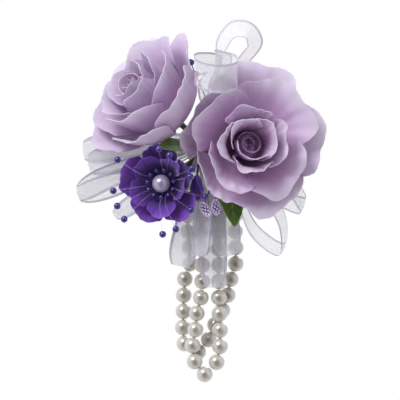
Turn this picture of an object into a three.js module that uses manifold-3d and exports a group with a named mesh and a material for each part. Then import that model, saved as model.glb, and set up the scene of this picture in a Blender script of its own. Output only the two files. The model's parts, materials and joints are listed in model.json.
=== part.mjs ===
// Wrist corsage: two fabric roses, a purple flower, leaves, ribbon loops and a two-strand pearl bracelet.
// Millimetres, +Z up. The origin is the centre of the wrist pad's back face, and the flowers face -Y.
import * as THREE from 'three';
import { mergeVertices } from 'three/addons/utils/BufferGeometryUtils.js';
import Module from 'manifold-3d';

const wasm = await Module();
wasm.setup();

// Fits between pieces
const GAP = 0.3;
const PEARL_GAP = 0.2;

// Wrist pad, bracelet plate and its cord ledge
const PAD_WIDTH = 28;
const PAD_HEIGHT = 22;
const PAD_THICKNESS = 1.5;
const PLATE_THICKNESS = 1.5;
const LEDGE_MARGIN = 2.6;
const CORD_DIAMETER = 1.2;
const KNOT_DIAMETER = 3;

// Pearl strands, hanging in two planes parallel to XZ
const PEARL_DIAMETER = 8;
const PEARL_RINGS = 4;
const PEARL_SIDES = 8;
const BACK_STRAND_Y = -7;
const STRAND_STEP = 8.7;
const CORD_DROP = 1.3;
const FRONT_LEFT_X = -6;
const FRONT_RIGHT_X = 2.5;
const BACK_LEFT_X = -14;
const BACK_RIGHT_X = 10.5;

// Stem bundle and its tie
const BUNDLE_DIAMETER = 16;
const BUNDLE_LENGTH = 17;
const BUNDLE_RISE = 3;
const STEM_DIAMETER = 3;
const STEM_STRAIGHT = 2;
const STALK_DIAMETER = 1.2;
const TIE_THICKNESS = 1;
const TIE_WIDTH = 10;

// Fabric thickness of petals, leaves and ribbon as stiffened goods
const PETAL_THICKNESS = 0.8;
const LEAF_THICKNESS = 0.8;
const RIBBON_THICKNESS = 0.5;
const RIBBON_WIDTH = 15;
const NARROW_WIDTH = 10;
const RIBBON_STEPS = 16;
const TAIL_SHARE = 0.36;
const TAIL_GAP = 0.7;
const PINCH_LENGTH = 0.07;

// Roses
const ROSE_HUB_DIAMETER = 9;
const ROSE_HUB_THICKNESS = 1.2;
const ROSE_LAYER_GAP = 0.5;
const BUD_CLEARANCE = 3.2;
const LEFT_BUD_SHARE = 1;
const RIGHT_BUD_SHARE = 0.68;
const LEFT_ROSE_EDGE = 13;
const RIGHT_ROSE_EDGE = -19.5;
const LEFT_ROSE_REACH = 34;
const LEFT_ROSE_HEIGHT = 33;
const RIGHT_ROSE_REACH = 34;
const RIGHT_ROSE_HEIGHT = 34;
const CALYX_LENGTH = 8;

// Purple flower
const PURPLE_REACH = 19;
const PURPLE_HEIGHT = 13;
const PURPLE_HUB_DIAMETER = 6;
const PURPLE_HUB_THICKNESS = 1;
const CENTRE_PEARL_DIAMETER = 9;
const STAMEN_BEAD_DIAMETER = 2.3;
const STAMEN_COUNT = 11;
const STAMEN_REACH = 8;
const FILAMENT_DIAMETER = 0.6;
const SPRAY_BEAD_DIAMETER = 3.5;

// Leaves, berries and the folded bud
const UPPER_LEAF_LENGTH = 24;
const UPPER_LEAF_WIDTH = 10;
const LOWER_LEAF_LENGTH = 27;
const LOWER_LEAF_WIDTH = 13;
const BERRY_LENGTH = 9;
const BERRY_DIAMETER = 5;
const BUD_LENGTH = 13;
const BUD_DIAMETER = 7;

const colours = {
  lilac: 0xc8b4d7,
  green: 0x55732a,
  purple: 0x5a2d9c,
  violetBead: 0x3c2d8c,
  pearl: 0xe1ded7,
  lilacPearl: 0xa59bb9,
  ribbon: 0xe1e1eb,
  cord: 0xd8cbb0,
  felt: 0xf0eef2,
  plate: 0xe8e6e0,
  berry: 0xc8aae1,
};

function finish(colour, roughness, metalness = 0) {
  return new THREE.MeshStandardMaterial({ color: colour, roughness, metalness });
}

const finishes = {
  petal: finish(colours.lilac, 0.85),
  leaf: finish(colours.green, 0.7),
  purplePetal: finish(colours.purple, 0.75),
  bead: finish(colours.violetBead, 0.15),
  pearl: finish(colours.pearl, 0.2),
  lilacPearl: finish(colours.lilacPearl, 0.2),
  ribbon: finish(colours.ribbon, 0.5),
  cord: finish(colours.cord, 0.7),
  felt: finish(colours.felt, 0.95),
  plate: finish(colours.plate, 0.4),
  berry: finish(colours.berry, 0.3),
};

const corsage = new THREE.Group();

function piece(parent, name, geometry, material) {
  const mesh = new THREE.Mesh(geometry, material);
  mesh.name = name;
  parent.add(mesh);
  return mesh;
}

function vector(point) {
  return new THREE.Vector3(point[0], point[1], point[2]);
}

// Six times the signed volume of a closed mesh: negative when its faces point in.
function signedVolume(positions, index) {
  const a = new THREE.Vector3();
  const b = new THREE.Vector3();
  const c = new THREE.Vector3();
  let sum = 0;
  for (let i = 0; i < index.length; i += 3) {
    a.fromArray(positions, 3 * index[i]);
    b.fromArray(positions, 3 * index[i + 1]);
    c.fromArray(positions, 3 * index[i + 2]);
    sum += a.dot(b.cross(c));
  }
  return sum;
}

function closedGeometry(positions, index) {
  const faces = Array.from(index);
  if (signedVolume(positions, faces) < 0) faces.reverse();
  const geometry = new THREE.BufferGeometry();
  geometry.setAttribute('position', new THREE.Float32BufferAttribute(positions, 3));
  geometry.setIndex(faces);
  geometry.computeVertexNormals();
  return geometry;
}

function welded(source) {
  const bare = source.clone();
  bare.deleteAttribute('normal');
  bare.deleteAttribute('uv');
  const merged = mergeVertices(bare, 1e-4);
  return closedGeometry(Array.from(merged.attributes.position.array), merged.index.array);
}

function solid(geometry) {
  const mesh = new wasm.Mesh({
    numProp: 3,
    vertProperties: Float32Array.from(geometry.attributes.position.array),
    triVerts: Uint32Array.from(geometry.index.array),
  });
  return new wasm.Manifold(mesh);
}

function joined(geometries) {
  const total = geometries.map(solid).reduce((sum, next) => sum.add(next));
  const mesh = total.getMesh();
  return closedGeometry(Array.from(mesh.vertProperties), mesh.triVerts);
}

// The walls between rings of points that all have the same number of sides.
function ringWalls(count, sides) {
  const index = [];
  for (let i = 0; i + 1 < count; i += 1) {
    for (let j = 0; j < sides; j += 1) {
      const a = i * sides + j;
      const b = i * sides + ((j + 1) % sides);
      index.push(a, b, b + sides, a, b + sides, a + sides);
    }
  }
  return index;
}

function flatNumbers(rings) {
  return rings.flat().flatMap((p) => [p.x, p.y, p.z]);
}

// A closed solid from rings of points: each ring joins the next, and both ends are capped by fans.
function ringSolid(rings) {
  const sides = rings[0].length;
  const index = ringWalls(rings.length, sides);
  const last = (rings.length - 1) * sides;
  for (let j = 1; j + 1 < sides; j += 1) {
    index.push(0, j + 1, j, last, last + j, last + j + 1);
  }
  return closedGeometry(flatNumbers(rings), index);
}

// A closed sheet from point(s, q, side): s runs -1 to 1 across, q 0 to 1 along, side is +1 or -1.
function sheetSolid(across, along, point) {
  const rings = [];
  for (let i = 0; i <= along; i += 1) {
    const front = [];
    const back = [];
    for (let j = 0; j <= across; j += 1) {
      const s = (2 * j) / across - 1;
      front.push(point(s, i / along, 1));
      back.unshift(point(s, i / along, -1));
    }
    rings.push(front.concat(back));
  }
  const sides = 2 * (across + 1);
  const index = ringWalls(rings.length, sides);
  for (let j = 0; j < across; j += 1) {
    const near = [j, j + 1, sides - 2 - j, sides - 1 - j];
    const far = near.map((k) => k + along * sides);
    index.push(near[0], near[2], near[1], near[0], near[3], near[2]);
    index.push(far[0], far[1], far[2], far[0], far[2], far[3]);
  }
  return closedGeometry(flatNumbers(rings), index);
}

// A round tube along a smooth curve through the points.
function tube(points, diameter, sides, steps) {
  const curve = new THREE.CatmullRomCurve3(points.map(vector), false, 'centripetal');
  const outline = new THREE.Shape();
  for (let i = 0; i < sides; i += 1) {
    const angle = (2 * Math.PI * i) / sides;
    const x = (diameter / 2) * Math.cos(angle);
    const y = (diameter / 2) * Math.sin(angle);
    if (i === 0) outline.moveTo(x, y);
    else outline.lineTo(x, y);
  }
  outline.closePath();
  return welded(new THREE.ExtrudeGeometry(outline, { steps, extrudePath: curve, curveSegments: 1 }));
}

function sphere(centre, diameter, sides, rings) {
  const ball = new THREE.SphereGeometry(diameter / 2, sides, rings);
  return welded(ball.translate(centre[0], centre[1], centre[2]));
}

function box(low, high) {
  const size = high.map((value, i) => value - low[i]);
  const middle = high.map((value, i) => (value + low[i]) / 2);
  return welded(new THREE.BoxGeometry(...size).translate(...middle));
}

function lathe(profile, sides) {
  const points = profile.map(([r, h]) => new THREE.Vector2(r, h));
  return welded(new THREE.LatheGeometry(points, sides).rotateX(Math.PI / 2));
}

// Wrist pad: a felt oval whose back face is the origin plane
const padOutline = new THREE.Shape();
padOutline.absellipse(0, 0, PAD_WIDTH / 2, PAD_HEIGHT / 2, 0, 2 * Math.PI);
const padForm = new THREE.ExtrudeGeometry(padOutline, {
  depth: PAD_THICKNESS,
  bevelEnabled: false,
  curveSegments: 12,
});
piece(corsage, 'wrist_pad', welded(padForm.rotateX(Math.PI / 2)), finishes.felt);

// Bracelet plate: an oval disc with a ledge below it, which has a hole for each cord end
const plateBack = -PAD_THICKNESS - GAP;
const plateFront = plateBack - PLATE_THICKNESS;
const ledgeBottom = -PAD_HEIGHT / 2;
const ledgeTop = ledgeBottom + PLATE_THICKNESS;
const frontStrandY = BACK_STRAND_Y - STRAND_STEP;
const backTopZ = ledgeBottom - CORD_DROP - PEARL_DIAMETER / 2;
const frontTopZ = backTopZ - STRAND_STEP;
const cordEnds = [
  { name: 'front_left', x: FRONT_LEFT_X, y: frontStrandY, z: frontTopZ },
  { name: 'front_right', x: FRONT_RIGHT_X, y: frontStrandY, z: frontTopZ },
  { name: 'back_left', x: BACK_LEFT_X, y: BACK_STRAND_Y, z: backTopZ },
  { name: 'back_right', x: BACK_RIGHT_X, y: BACK_STRAND_Y, z: backTopZ },
];
const cordHole = CORD_DIAMETER + 2 * GAP;

function cordPin(end, diameter, low, high) {
  const pin = new THREE.CylinderGeometry(diameter / 2, diameter / 2, high - low, 8);
  return welded(pin.rotateX(Math.PI / 2).translate(end.x, end.y, (low + high) / 2));
}

function ledgeBox(ends, backY) {
  const xs = ends.map((end) => end.x);
  const low = [Math.min(...xs) - LEDGE_MARGIN, ends[0].y - LEDGE_MARGIN, ledgeBottom];
  const high = [Math.max(...xs) + LEDGE_MARGIN, backY, ledgeTop];
  return box(low, high);
}

const plateDisc = new THREE.ExtrudeGeometry(padOutline, {
  depth: PLATE_THICKNESS,
  bevelEnabled: false,
  curveSegments: 12,
});
plateDisc.rotateX(Math.PI / 2).translate(0, plateBack, 0);
const plateBlank = joined([
  welded(plateDisc),
  ledgeBox(cordEnds.slice(2), plateBack),
  ledgeBox(cordEnds.slice(0, 2), plateBack),
]);
const drilled = cordEnds
  .map((end) => solid(cordPin(end, cordHole, ledgeBottom - 1, ledgeTop + 1)))
  .reduce((plate, hole) => plate.subtract(hole), solid(plateBlank));
const plateMesh = drilled.getMesh();
const plateForm = closedGeometry(Array.from(plateMesh.vertProperties), plateMesh.triVerts);
piece(corsage, 'bracelet_plate', plateForm, finishes.plate);

// Cord ends: a knot on the ledge and a short drop through its hole to the top pearl
for (const end of cordEnds) {
  const knotCentre = ledgeTop + GAP + KNOT_DIAMETER / 2;
  const drop = cordPin(end, CORD_DIAMETER, end.z + PEARL_DIAMETER / 2 + GAP, knotCentre);
  const knot = sphere([end.x, end.y, knotCentre], KNOT_DIAMETER, 8, 6);
  piece(corsage, `${end.name}_cord_end`, joined([drop, knot]), finishes.cord);
  const topPearl = sphere([end.x, end.y, end.z], PEARL_DIAMETER, 8, 6);
  piece(corsage, `${end.name}_top_pearl`, topPearl, finishes.pearl);
}

// A bar of pearls: a round profile carried along the thread, swelling to a pearl at each step.
const pitch = PEARL_DIAMETER + PEARL_GAP;

function pearlBar(start, headings) {
  const centres = [];
  const centre = start.clone();
  const rings = [];
  for (const heading of headings) {
    const angle = THREE.MathUtils.degToRad(heading);
    const along = new THREE.Vector3(Math.sin(angle), 0, -Math.cos(angle));
    const side = new THREE.Vector3(Math.cos(angle), 0, Math.sin(angle));
    const depth = new THREE.Vector3(0, 1, 0);
    centre.addScaledVector(along, pitch);
    centres.push(centre.clone());
    const first = centres.length === 1;
    const last = centres.length === headings.length;
    for (let k = 0; k <= PEARL_RINGS; k += 1) {
      const polar = (Math.PI * k) / PEARL_RINGS;
      const end = k === 0 || k === PEARL_RINGS;
      const radius = end ? CORD_DIAMETER / 2 : (PEARL_DIAMETER / 2) * Math.sin(polar);
      const bare = (first && k === 0) || (last && k === PEARL_RINGS);
      const ring = [];
      for (let j = 0; j < PEARL_SIDES; j += 1) {
        const turn = (2 * Math.PI * j) / PEARL_SIDES;
        const point = centre.clone().addScaledVector(along, (-PEARL_DIAMETER / 2) * Math.cos(polar));
        const reach = bare ? radius / 2 : radius;
        point.addScaledVector(side, reach * Math.cos(turn));
        point.addScaledVector(depth, reach * Math.sin(turn));
        ring.push(point);
      }
      rings.push(ring);
    }
  }
  return { geometry: ringSolid(rings), end: centres[centres.length - 1] };
}

// Headings of each pearl from the one above, in degrees from straight down, positive to +X
const strands = [
  {
    name: 'front',
    left: { upper: [0, 0, 1, 0, 0], lower: [-5, -14.5, -5, -10.5, 8, 38] },
    right: { upper: [0, 0, 0, 0, 0], lower: [0, 2, 2, 0, -12] },
  },
  {
    name: 'back',
    left: { upper: [1, 2, 4, 4, 3], lower: [-19, -4, -1, -2, 5, 59] },
    right: { upper: [2, 0, 0, 2, 0], lower: [-18, -10.5, -19.5, -27, -23.4] },
  },
];
for (const strand of strands) {
  for (const hand of ['left', 'right']) {
    const end = cordEnds.find((cord) => cord.name === `${strand.name}_${hand}`);
    const upper = pearlBar(new THREE.Vector3(end.x, end.y, end.z), strand[hand].upper);
    const lower = pearlBar(upper.end, strand[hand].lower);
    piece(corsage, `${strand.name}_upper_${hand}_pearls`, upper.geometry, finishes.pearl);
    piece(corsage, `${strand.name}_lower_${hand}_pearls`, lower.geometry, finishes.pearl);
  }
}

// Stem bundle: all stems taped together, with an arm to each large flower
const bundleBack = plateFront - GAP;
const bundleFront = bundleBack - BUNDLE_LENGTH;
const bundleRadius = BUNDLE_DIAMETER / 2;
const tieRadius = bundleRadius + GAP + TIE_THICKNESS;

// Each flower: its base point, the way it faces, and the turn of its petals about that axis.
// The roses keep their inner edges beside the purple flower and the leaves when their reach changes.
// Petals on the lean side open wider and those across from it close up; flare makes them uneven.
const flowers = {
  left_rose: {
    base: vector([LEFT_ROSE_EDGE - LEFT_ROSE_REACH, -24, 16.5]),
    facing: vector([-0.68, -0.5, 0.54]).normalize(),
    spin: 0.3,
    lean: 0.12,
    leanAngle: 1.9,
    flare: 0.04,
  },
  right_rose: {
    base: vector([RIGHT_ROSE_EDGE + RIGHT_ROSE_REACH, -29, 1]),
    facing: vector([0.17, -0.97, 0.1]).normalize(),
    spin: 0.3,
    lean: 0.16,
    leanAngle: 1,
    flare: 0.05,
  },
  purple_flower: {
    base: vector([-25, -33, -16.5]),
    facing: vector([-0.16, -0.97, -0.04]).normalize(),
    spin: 0.2,
    lean: 0.16,
    leanAngle: 3.5,
    flare: 0.06,
  },
};

function flowerGroup(flower) {
  const group = new THREE.Group();
  group.position.copy(flower.base);
  group.quaternion.setFromUnitVectors(new THREE.Vector3(0, 0, 1), flower.facing);
  corsage.add(group);
  return group;
}

function onAxis(flower, height) {
  return flower.base.clone().addScaledVector(flower.facing, height);
}

function stemArm(name, start) {
  const flower = flowers[name];
  const end = onAxis(flower, -CALYX_LENGTH - GAP);
  const before = onAxis(flower, -CALYX_LENGTH - GAP - STEM_STRAIGHT);
  return tube([start, before.toArray(), end.toArray()], STEM_DIAMETER, 8, 8);
}

const bundleBody = new THREE.CylinderGeometry(bundleRadius, bundleRadius, BUNDLE_LENGTH, 20);
bundleBody.translate(0, (bundleBack + bundleFront) / 2, BUNDLE_RISE);
const armRoot = [0, bundleFront + STEM_DIAMETER, BUNDLE_RISE];
const bundleForm = joined([
  welded(bundleBody),
  stemArm('left_rose', armRoot),
  stemArm('right_rose', armRoot),
  stemArm('purple_flower', armRoot),
]);
piece(corsage, 'stem_bundle', bundleForm, finishes.leaf);

const tieProfile = [
  [bundleRadius + GAP, 0],
  [tieRadius, 0],
  [tieRadius, TIE_WIDTH],
  [bundleRadius + GAP, TIE_WIDTH],
  [bundleRadius + GAP, 0],
].map(([r, h]) => new THREE.Vector2(r, h));
const tieForm = new THREE.LatheGeometry(tieProfile, 24);
tieForm.translate(0, bundleBack - TIE_WIDTH - GAP, BUNDLE_RISE);
piece(corsage, 'ribbon_tie', welded(tieForm), finishes.ribbon);

// A petal on its hub: the profile is a curve in (radius, height), s runs across the petal, q along it.
// One edge stands outside its neighbour and the other inside, as the petals of a rose lap each other.
function petal(layer, index) {
  const profile = new THREE.CubicBezierCurve(...layer.profile.map(([r, h]) => new THREE.Vector2(r, h)));
  const middle = layer.turn + (2 * Math.PI * index) / layer.count;
  const length = 1 - layer.uneven * (0.5 + 0.5 * Math.sin(2.4 * index + 5 * layer.turn));
  const leaning = layer.lean * Math.cos(middle - layer.leanAngle);
  const wide = leaning + layer.flare * Math.sin(1.7 * index + layer.turn);
  return sheetSolid(layer.across, layer.along, (s, q, side) => {
    const t = q * length * (1 - layer.round * s ** 4);
    const at = profile.getPoint(t);
    const way = profile.getTangent(t);
    const out = layer.lap * s * t + layer.roll * s * s * t * t + (side * PETAL_THICKNESS) / 2;
    const radius = at.x * (1 + wide * t ** 1.5) + way.y * out;
    const height = at.y * (1 - 0.6 * wide * t) - way.x * out;
    const angle = middle + s * layer.spread * (0.6 + 0.4 * t);
    return new THREE.Vector3(radius * Math.cos(angle), radius * Math.sin(angle), height);
  });
}

function disc(diameter, thickness, height) {
  const form = new THREE.CylinderGeometry(diameter / 2, diameter / 2, thickness, 16);
  return welded(form.rotateX(Math.PI / 2).translate(0, 0, height));
}

function petalLayer(layer) {
  const forms = [disc(layer.hubDiameter, layer.hubThickness, layer.profile[0][1])];
  for (let i = 0; i < layer.count; i += 1) forms.push(petal(layer, i));
  return joined(forms);
}

// Rose layers from the outside in: profile radii are shares of the reach, heights of the rose's height.
const openRose = [
  { count: 5, bowl: [[0.7, -0.06], [0.85, 0.3], [1.02, 0.42]], lap: 2.2, roll: 0.8, round: 0.25 },
  { count: 4, bowl: [[0.52, 0.02], [0.64, 0.52], [0.86, 0.64]], lap: 2, roll: 0.7, round: 0.25 },
  { count: 4, bowl: [[0.38, 0.16], [0.36, 0.6], [0.47, 0.9]], lap: 1.1, roll: 0.4, round: 0.16 },
  { count: 3, bowl: [[0.26, 0.24], [0.28, 0.62], [0.3, 1]], lap: 0.9, roll: 0, round: 0.12 },
];
const cuppedRose = [
  { count: 5, bowl: [[0.62, -0.08], [0.78, 0.38], [0.96, 0.74]], lap: 1.8, roll: 0.8, round: 0.22 },
  { count: 4, bowl: [[0.5, 0.04], [0.6, 0.5], [0.74, 0.95]], lap: 1.4, roll: 0.6, round: 0.2 },
  { count: 4, bowl: [[0.38, 0.13], [0.42, 0.6], [0.48, 1.04]], lap: 1, roll: 0.4, round: 0.16 },
  { count: 3, bowl: [[0.26, 0.24], [0.28, 0.62], [0.3, 1.08]], lap: 0.8, roll: 0, round: 0.12 },
];
const layerNames = ['outer_petals', 'middle_petals', 'inner_petals', 'wrap_petals'];

function calyx(hubDiameter, hubThickness) {
  const top = -hubThickness / 2 - GAP;
  const low = -CALYX_LENGTH;
  const foot = STEM_DIAMETER / 2;
  const rim = hubDiameter / 2;
  const profile = [
    [0, low], [foot, low], [foot * 1.2, low * 0.6], [rim * 0.8, low * 0.3], [rim, top], [0, top],
  ];
  return lathe(profile, 12);
}

function rose(name, reach, height, recipe, budShare) {
  const flower = flowers[name];
  const group = flowerGroup(flower);
  piece(group, `${name}_calyx`, calyx(ROSE_HUB_DIAMETER, ROSE_HUB_THICKNESS), finishes.leaf);
  recipe.forEach((layer, level) => {
    const hubHeight = level * (ROSE_HUB_THICKNESS + ROSE_LAYER_GAP);
    const start = [(ROSE_HUB_DIAMETER - PETAL_THICKNESS) / 2, hubHeight];
    const bowl = layer.bowl.map(([r, h]) => [r * reach, hubHeight + h * (height - hubHeight)]);
    const form = petalLayer({
      ...layer,
      profile: [start, ...bowl],
      turn: flower.spin + 0.7 * level,
      lean: flower.lean,
      leanAngle: flower.leanAngle,
      flare: level < 2 ? flower.flare : 0,
      spread: (1.3 * Math.PI) / layer.count,
      uneven: 0.05,
      hubDiameter: ROSE_HUB_DIAMETER,
      hubThickness: ROSE_HUB_THICKNESS,
      across: 4,
      along: 3,
    });
    piece(group, `${name}_${layerNames[level]}`, form, finishes.petal);
  });
  const seat = (recipe.length - 1) * (ROSE_HUB_THICKNESS + ROSE_LAYER_GAP) + ROSE_HUB_THICKNESS / 2 + GAP;
  const wrap = recipe[recipe.length - 1].bowl[1][0] * reach;
  const girth = wrap - BUD_CLEARANCE;
  const top = height * budShare;
  const bud = [[0, seat], [girth * 0.35, seat], [girth * 0.9, top * 0.5], [girth, top * 0.8],
    [girth * 0.75, top * 0.97], [girth * 0.4, top], [0, top * 0.9]];
  piece(group, `${name}_bud`, lathe(bud, 12), finishes.petal);
}

rose('left_rose', LEFT_ROSE_REACH, LEFT_ROSE_HEIGHT, cuppedRose, LEFT_BUD_SHARE);
rose('right_rose', RIGHT_ROSE_REACH, RIGHT_ROSE_HEIGHT, openRose, RIGHT_BUD_SHARE);

// Purple flower: receptacle, two petal layers, a bunch of bead-tipped stamens and a centre pearl
const purple = flowers.purple_flower;
const purpleGroup = flowerGroup(purple);
const purpleStep = PURPLE_HUB_THICKNESS + GAP;
const purpleRecipe = [
  { name: 'back_petals', bowl: [[0.6, 0.05], [0.85, 0.45], [1, 0.8]], lap: 1, roll: -0.8, round: 0.25 },
  {
    name: 'front_petals',
    bowl: [[0.5, 0.25], [0.58, 0.75], [0.76, 1.15]],
    lap: 0.8,
    roll: -0.5,
    round: 0.25,
  },
];
const receptacle = calyx(PURPLE_HUB_DIAMETER, PURPLE_HUB_THICKNESS);
piece(purpleGroup, 'purple_flower_receptacle', receptacle, finishes.leaf);
purpleRecipe.forEach((layer, level) => {
  const hubHeight = level * purpleStep;
  const form = petalLayer({
    ...layer,
    count: 5,
    profile: [
      [(PURPLE_HUB_DIAMETER - PETAL_THICKNESS) / 2, hubHeight],
      ...layer.bowl.map(([r, h]) => [r * PURPLE_REACH, hubHeight + h * (PURPLE_HEIGHT - hubHeight)]),
    ],
    turn: purple.spin + level * 0.63,
    lean: purple.lean,
    leanAngle: purple.leanAngle,
    flare: purple.flare,
    spread: (1.15 * Math.PI) / 5,
    uneven: 0.06,
    hubDiameter: PURPLE_HUB_DIAMETER,
    hubThickness: PURPLE_HUB_THICKNESS,
    across: 4,
    along: 4,
  });
  piece(purpleGroup, `purple_flower_${layer.name}`, form, finishes.purplePetal);
});

const stamenHubHeight = purpleRecipe.length * purpleStep;
const centrePearlHeight = stamenHubHeight + PURPLE_HUB_THICKNESS / 2 + GAP + CENTRE_PEARL_DIAMETER / 2;
const centrePearl = sphere([0, 0, centrePearlHeight], CENTRE_PEARL_DIAMETER, 12, 8);
piece(purpleGroup, 'purple_flower_centre_pearl', centrePearl, finishes.lilacPearl);

// Long filaments end in beads at these places, in the part's own frame
const sprayBeads = [
  [-48, -42, -5], [-50, -45, -20.5], [-48, -47, -28], [-44.5, -48, -34.5],
  [-25.5, -46, -42], [-19, -46, -39.5], [-11.5, -47, -30], [-11, -50, -9.5],
  [-12, -52, -13.5], [-27, -59, 0], [-22, -58, -3], [-4.5, -45, -23.5],
];

function beadOnFilament(start, middle, bead, diameter, sides) {
  const thread = tube([start, ...middle, bead], FILAMENT_DIAMETER, 3, 2 * middle.length);
  return [thread, sphere(bead, diameter, sides, sides - 2)];
}

function stamenSpray() {
  const forms = [disc(PURPLE_HUB_DIAMETER - 1, PURPLE_HUB_THICKNESS, stamenHubHeight)];
  const clear = CENTRE_PEARL_DIAMETER / 2 + 2.5 * GAP + FILAMENT_DIAMETER;
  for (let i = 0; i < STAMEN_COUNT; i += 1) {
    const angle = (2 * Math.PI * i) / STAMEN_COUNT;
    const at = (radius, height) => [radius * Math.cos(angle), radius * Math.sin(angle), height];
    const bead = at(STAMEN_REACH, centrePearlHeight + 1.5);
    const middle = [at(clear, centrePearlHeight - 2.5)];
    forms.push(...beadOnFilament(at(1.5, stamenHubHeight), middle, bead, STAMEN_BEAD_DIAMETER, 5));
  }
  purpleGroup.updateMatrixWorld(true);
  for (const place of sprayBeads) {
    const bead = purpleGroup.worldToLocal(vector(place)).toArray();
    const reach = Math.hypot(bead[0], bead[1]);
    const at = (radius, height) => [(radius * bead[0]) / reach, (radius * bead[1]) / reach, height];
    const middle = [at(clear, centrePearlHeight - 1), at(STAMEN_REACH + 3, PURPLE_HEIGHT + 3.5)];
    forms.push(...beadOnFilament(at(1.5, stamenHubHeight), middle, bead, SPRAY_BEAD_DIAMETER, 6));
  }
  return joined(forms);
}

piece(purpleGroup, 'stamen_spray', stamenSpray(), finishes.bead);

// Stalks start on the front of the bundle, square to it
const stalkStart = bundleFront - GAP;

// A leaf: half-widths follow a sine along the blade, the sides fold up from the midrib, the tip bends.
function leaf(root, tip, length, width, upward) {
  const start = vector(root);
  const along = vector(tip).sub(start).normalize();
  const across = new THREE.Vector3().crossVectors(along, vector(upward)).normalize();
  const up = new THREE.Vector3().crossVectors(across, along);
  const blade = sheetSolid(4, 8, (s, q, side) => {
    const half = (width / 2) * (0.06 + 0.94 * Math.sin(Math.PI * q ** 0.85) ** 0.8);
    const lift = 0.22 * Math.abs(s) * half - 0.08 * length * q * q + (side * LEAF_THICKNESS) / 2;
    return start.clone().addScaledVector(along, q * length).addScaledVector(across, s * half)
      .addScaledVector(up, lift);
  });
  return { blade, start: start.clone().addScaledVector(along, LEAF_THICKNESS) };
}

function stalkedLeaf(name, stalk, root, tip, length, width, upward) {
  const form = leaf(root, tip, length, width, upward);
  const stem = tube([...stalk, form.start.toArray()], STALK_DIAMETER, 6, 10);
  piece(corsage, name, joined([form.blade, stem]), finishes.leaf);
}

const upperStalk = [[-5, stalkStart, 7], [-7, -26, 6]];
const lowerStalk = [[6.3, stalkStart, 4], [7.5, -26, 2]];
stalkedLeaf('upper_leaf', upperStalk, [-12, -32, 1.8], [-31, -57, 2.6], UPPER_LEAF_LENGTH, UPPER_LEAF_WIDTH,
  [0.1, -0.75, 0.65]);
stalkedLeaf('lower_leaf', lowerStalk, [7, -28, -12], [10.5, -36, -36], LOWER_LEAF_LENGTH, LOWER_LEAF_WIDTH,
  [0.2, -1, 0]);

// A berry: rings of seed beads round an oval core, on a stalk
function berry(name, stalk, centre, axis) {
  const up = new THREE.Vector3(0, 0, 1);
  const lift = new THREE.Quaternion().setFromUnitVectors(up, vector(axis).normalize());
  const place = (x, y, z) => new THREE.Vector3(x, y, z).applyQuaternion(lift).add(vector(centre)).toArray();
  const seed = BERRY_DIAMETER * 0.42;
  const forms = [tube([...stalk, place(0, 0, -BERRY_LENGTH / 4)], STALK_DIAMETER, 5, 8)];
  const core = new THREE.SphereGeometry(BERRY_DIAMETER / 2 - seed / 3, 6, 4);
  core.scale(1, 1, BERRY_LENGTH / BERRY_DIAMETER);
  forms.push(welded(core.applyQuaternion(lift).translate(...centre)));
  for (let ring = -1; ring <= 1; ring += 1) {
    for (let i = 0; i < 4; i += 1) {
      const angle = (2 * Math.PI * (i + 0.5 * ring)) / 4;
      const radius = (BERRY_DIAMETER - seed) / 2 - 0.3 * Math.abs(ring);
      const at = place(radius * Math.cos(angle), radius * Math.sin(angle), ring * seed * 1.1);
      forms.push(sphere(at, seed, 4, 3));
    }
  }
  piece(corsage, name, joined(forms), finishes.berry);
}

const frontBerryStalk = [[-1, stalkStart, 5], [0.2, -27, 2], [0, -31, -14]];
const backBerryStalk = [[2.2, stalkStart, 5], [2.6, -27, 2], [2.6, -30, -14]];
berry('front_berry_bud', frontBerryStalk, [-4.5, -38, -29.5], [0.5, -0.1, -0.8]);
berry('back_berry_bud', backBerryStalk, [1, -34, -28.5], [0.1, -0.1, -1]);

// Folded bud: an oval of rolled petal on a stalk
function foldedBud() {
  const top = [-8.5, -37, -13];
  const stem = tube([[-5.5, stalkStart, 4], [-6.5, -30, 1], top], STALK_DIAMETER, 6, 8);
  const girth = BUD_DIAMETER / 2;
  const form = lathe([[0, -BUD_LENGTH], [girth * 0.5, -BUD_LENGTH * 0.92], [girth, -BUD_LENGTH * 0.55],
    [girth * 0.7, -BUD_LENGTH * 0.2], [0.8, 0], [0, 0]], 8);
  return joined([stem, welded(form.translate(top[0], top[1], top[2] + 0.5))]);
}

piece(corsage, 'folded_bud', foldedBud(), finishes.purplePetal);

// Two beads on a short wire behind the left rose
const backWire = [[-2, -9, BUNDLE_RISE + tieRadius + GAP], [-4, -11, 26], [-10, -15, 40]];
const backSpray = joined([
  tube([...backWire, [-11.5, -16, 44.5]], FILAMENT_DIAMETER * 1.5, 4, 8),
  sphere([-11.5, -16, 44.5], SPRAY_BEAD_DIAMETER, 6, 4),
  sphere([-9, -14.3, 38.5], SPRAY_BEAD_DIAMETER, 6, 4),
]);
piece(corsage, 'back_bead_spray', backSpray, finishes.bead);

// Ribbon loops: a strip carried along a curve, gathered to a narrow tail at both ends
function ribbonStrip(points, acrossDirections, width, pinch = 0) {
  const curve = new THREE.CatmullRomCurve3(points, false, 'centripetal');
  const directions = new THREE.CatmullRomCurve3(acrossDirections, false, 'centripetal');
  return sheetSolid(1, RIBBON_STEPS, (s, q, side) => {
    const way = curve.getTangent(q);
    const across = directions.getPoint(q).normalize();
    across.addScaledVector(way, -across.dot(way)).normalize();
    const face = new THREE.Vector3().crossVectors(way, across);
    const drawn = 1 - pinch * Math.exp(-(((q - 0.5) / PINCH_LENGTH) ** 2));
    const gather = drawn * (TAIL_SHARE + (1 - TAIL_SHARE) * Math.sin(Math.PI * q) ** 0.7);
    return curve.getPoint(q).addScaledVector(across, (s * width * gather) / 2)
      .addScaledVector(face, (side * RIBBON_THICKNESS) / 2);
  });
}

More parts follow.
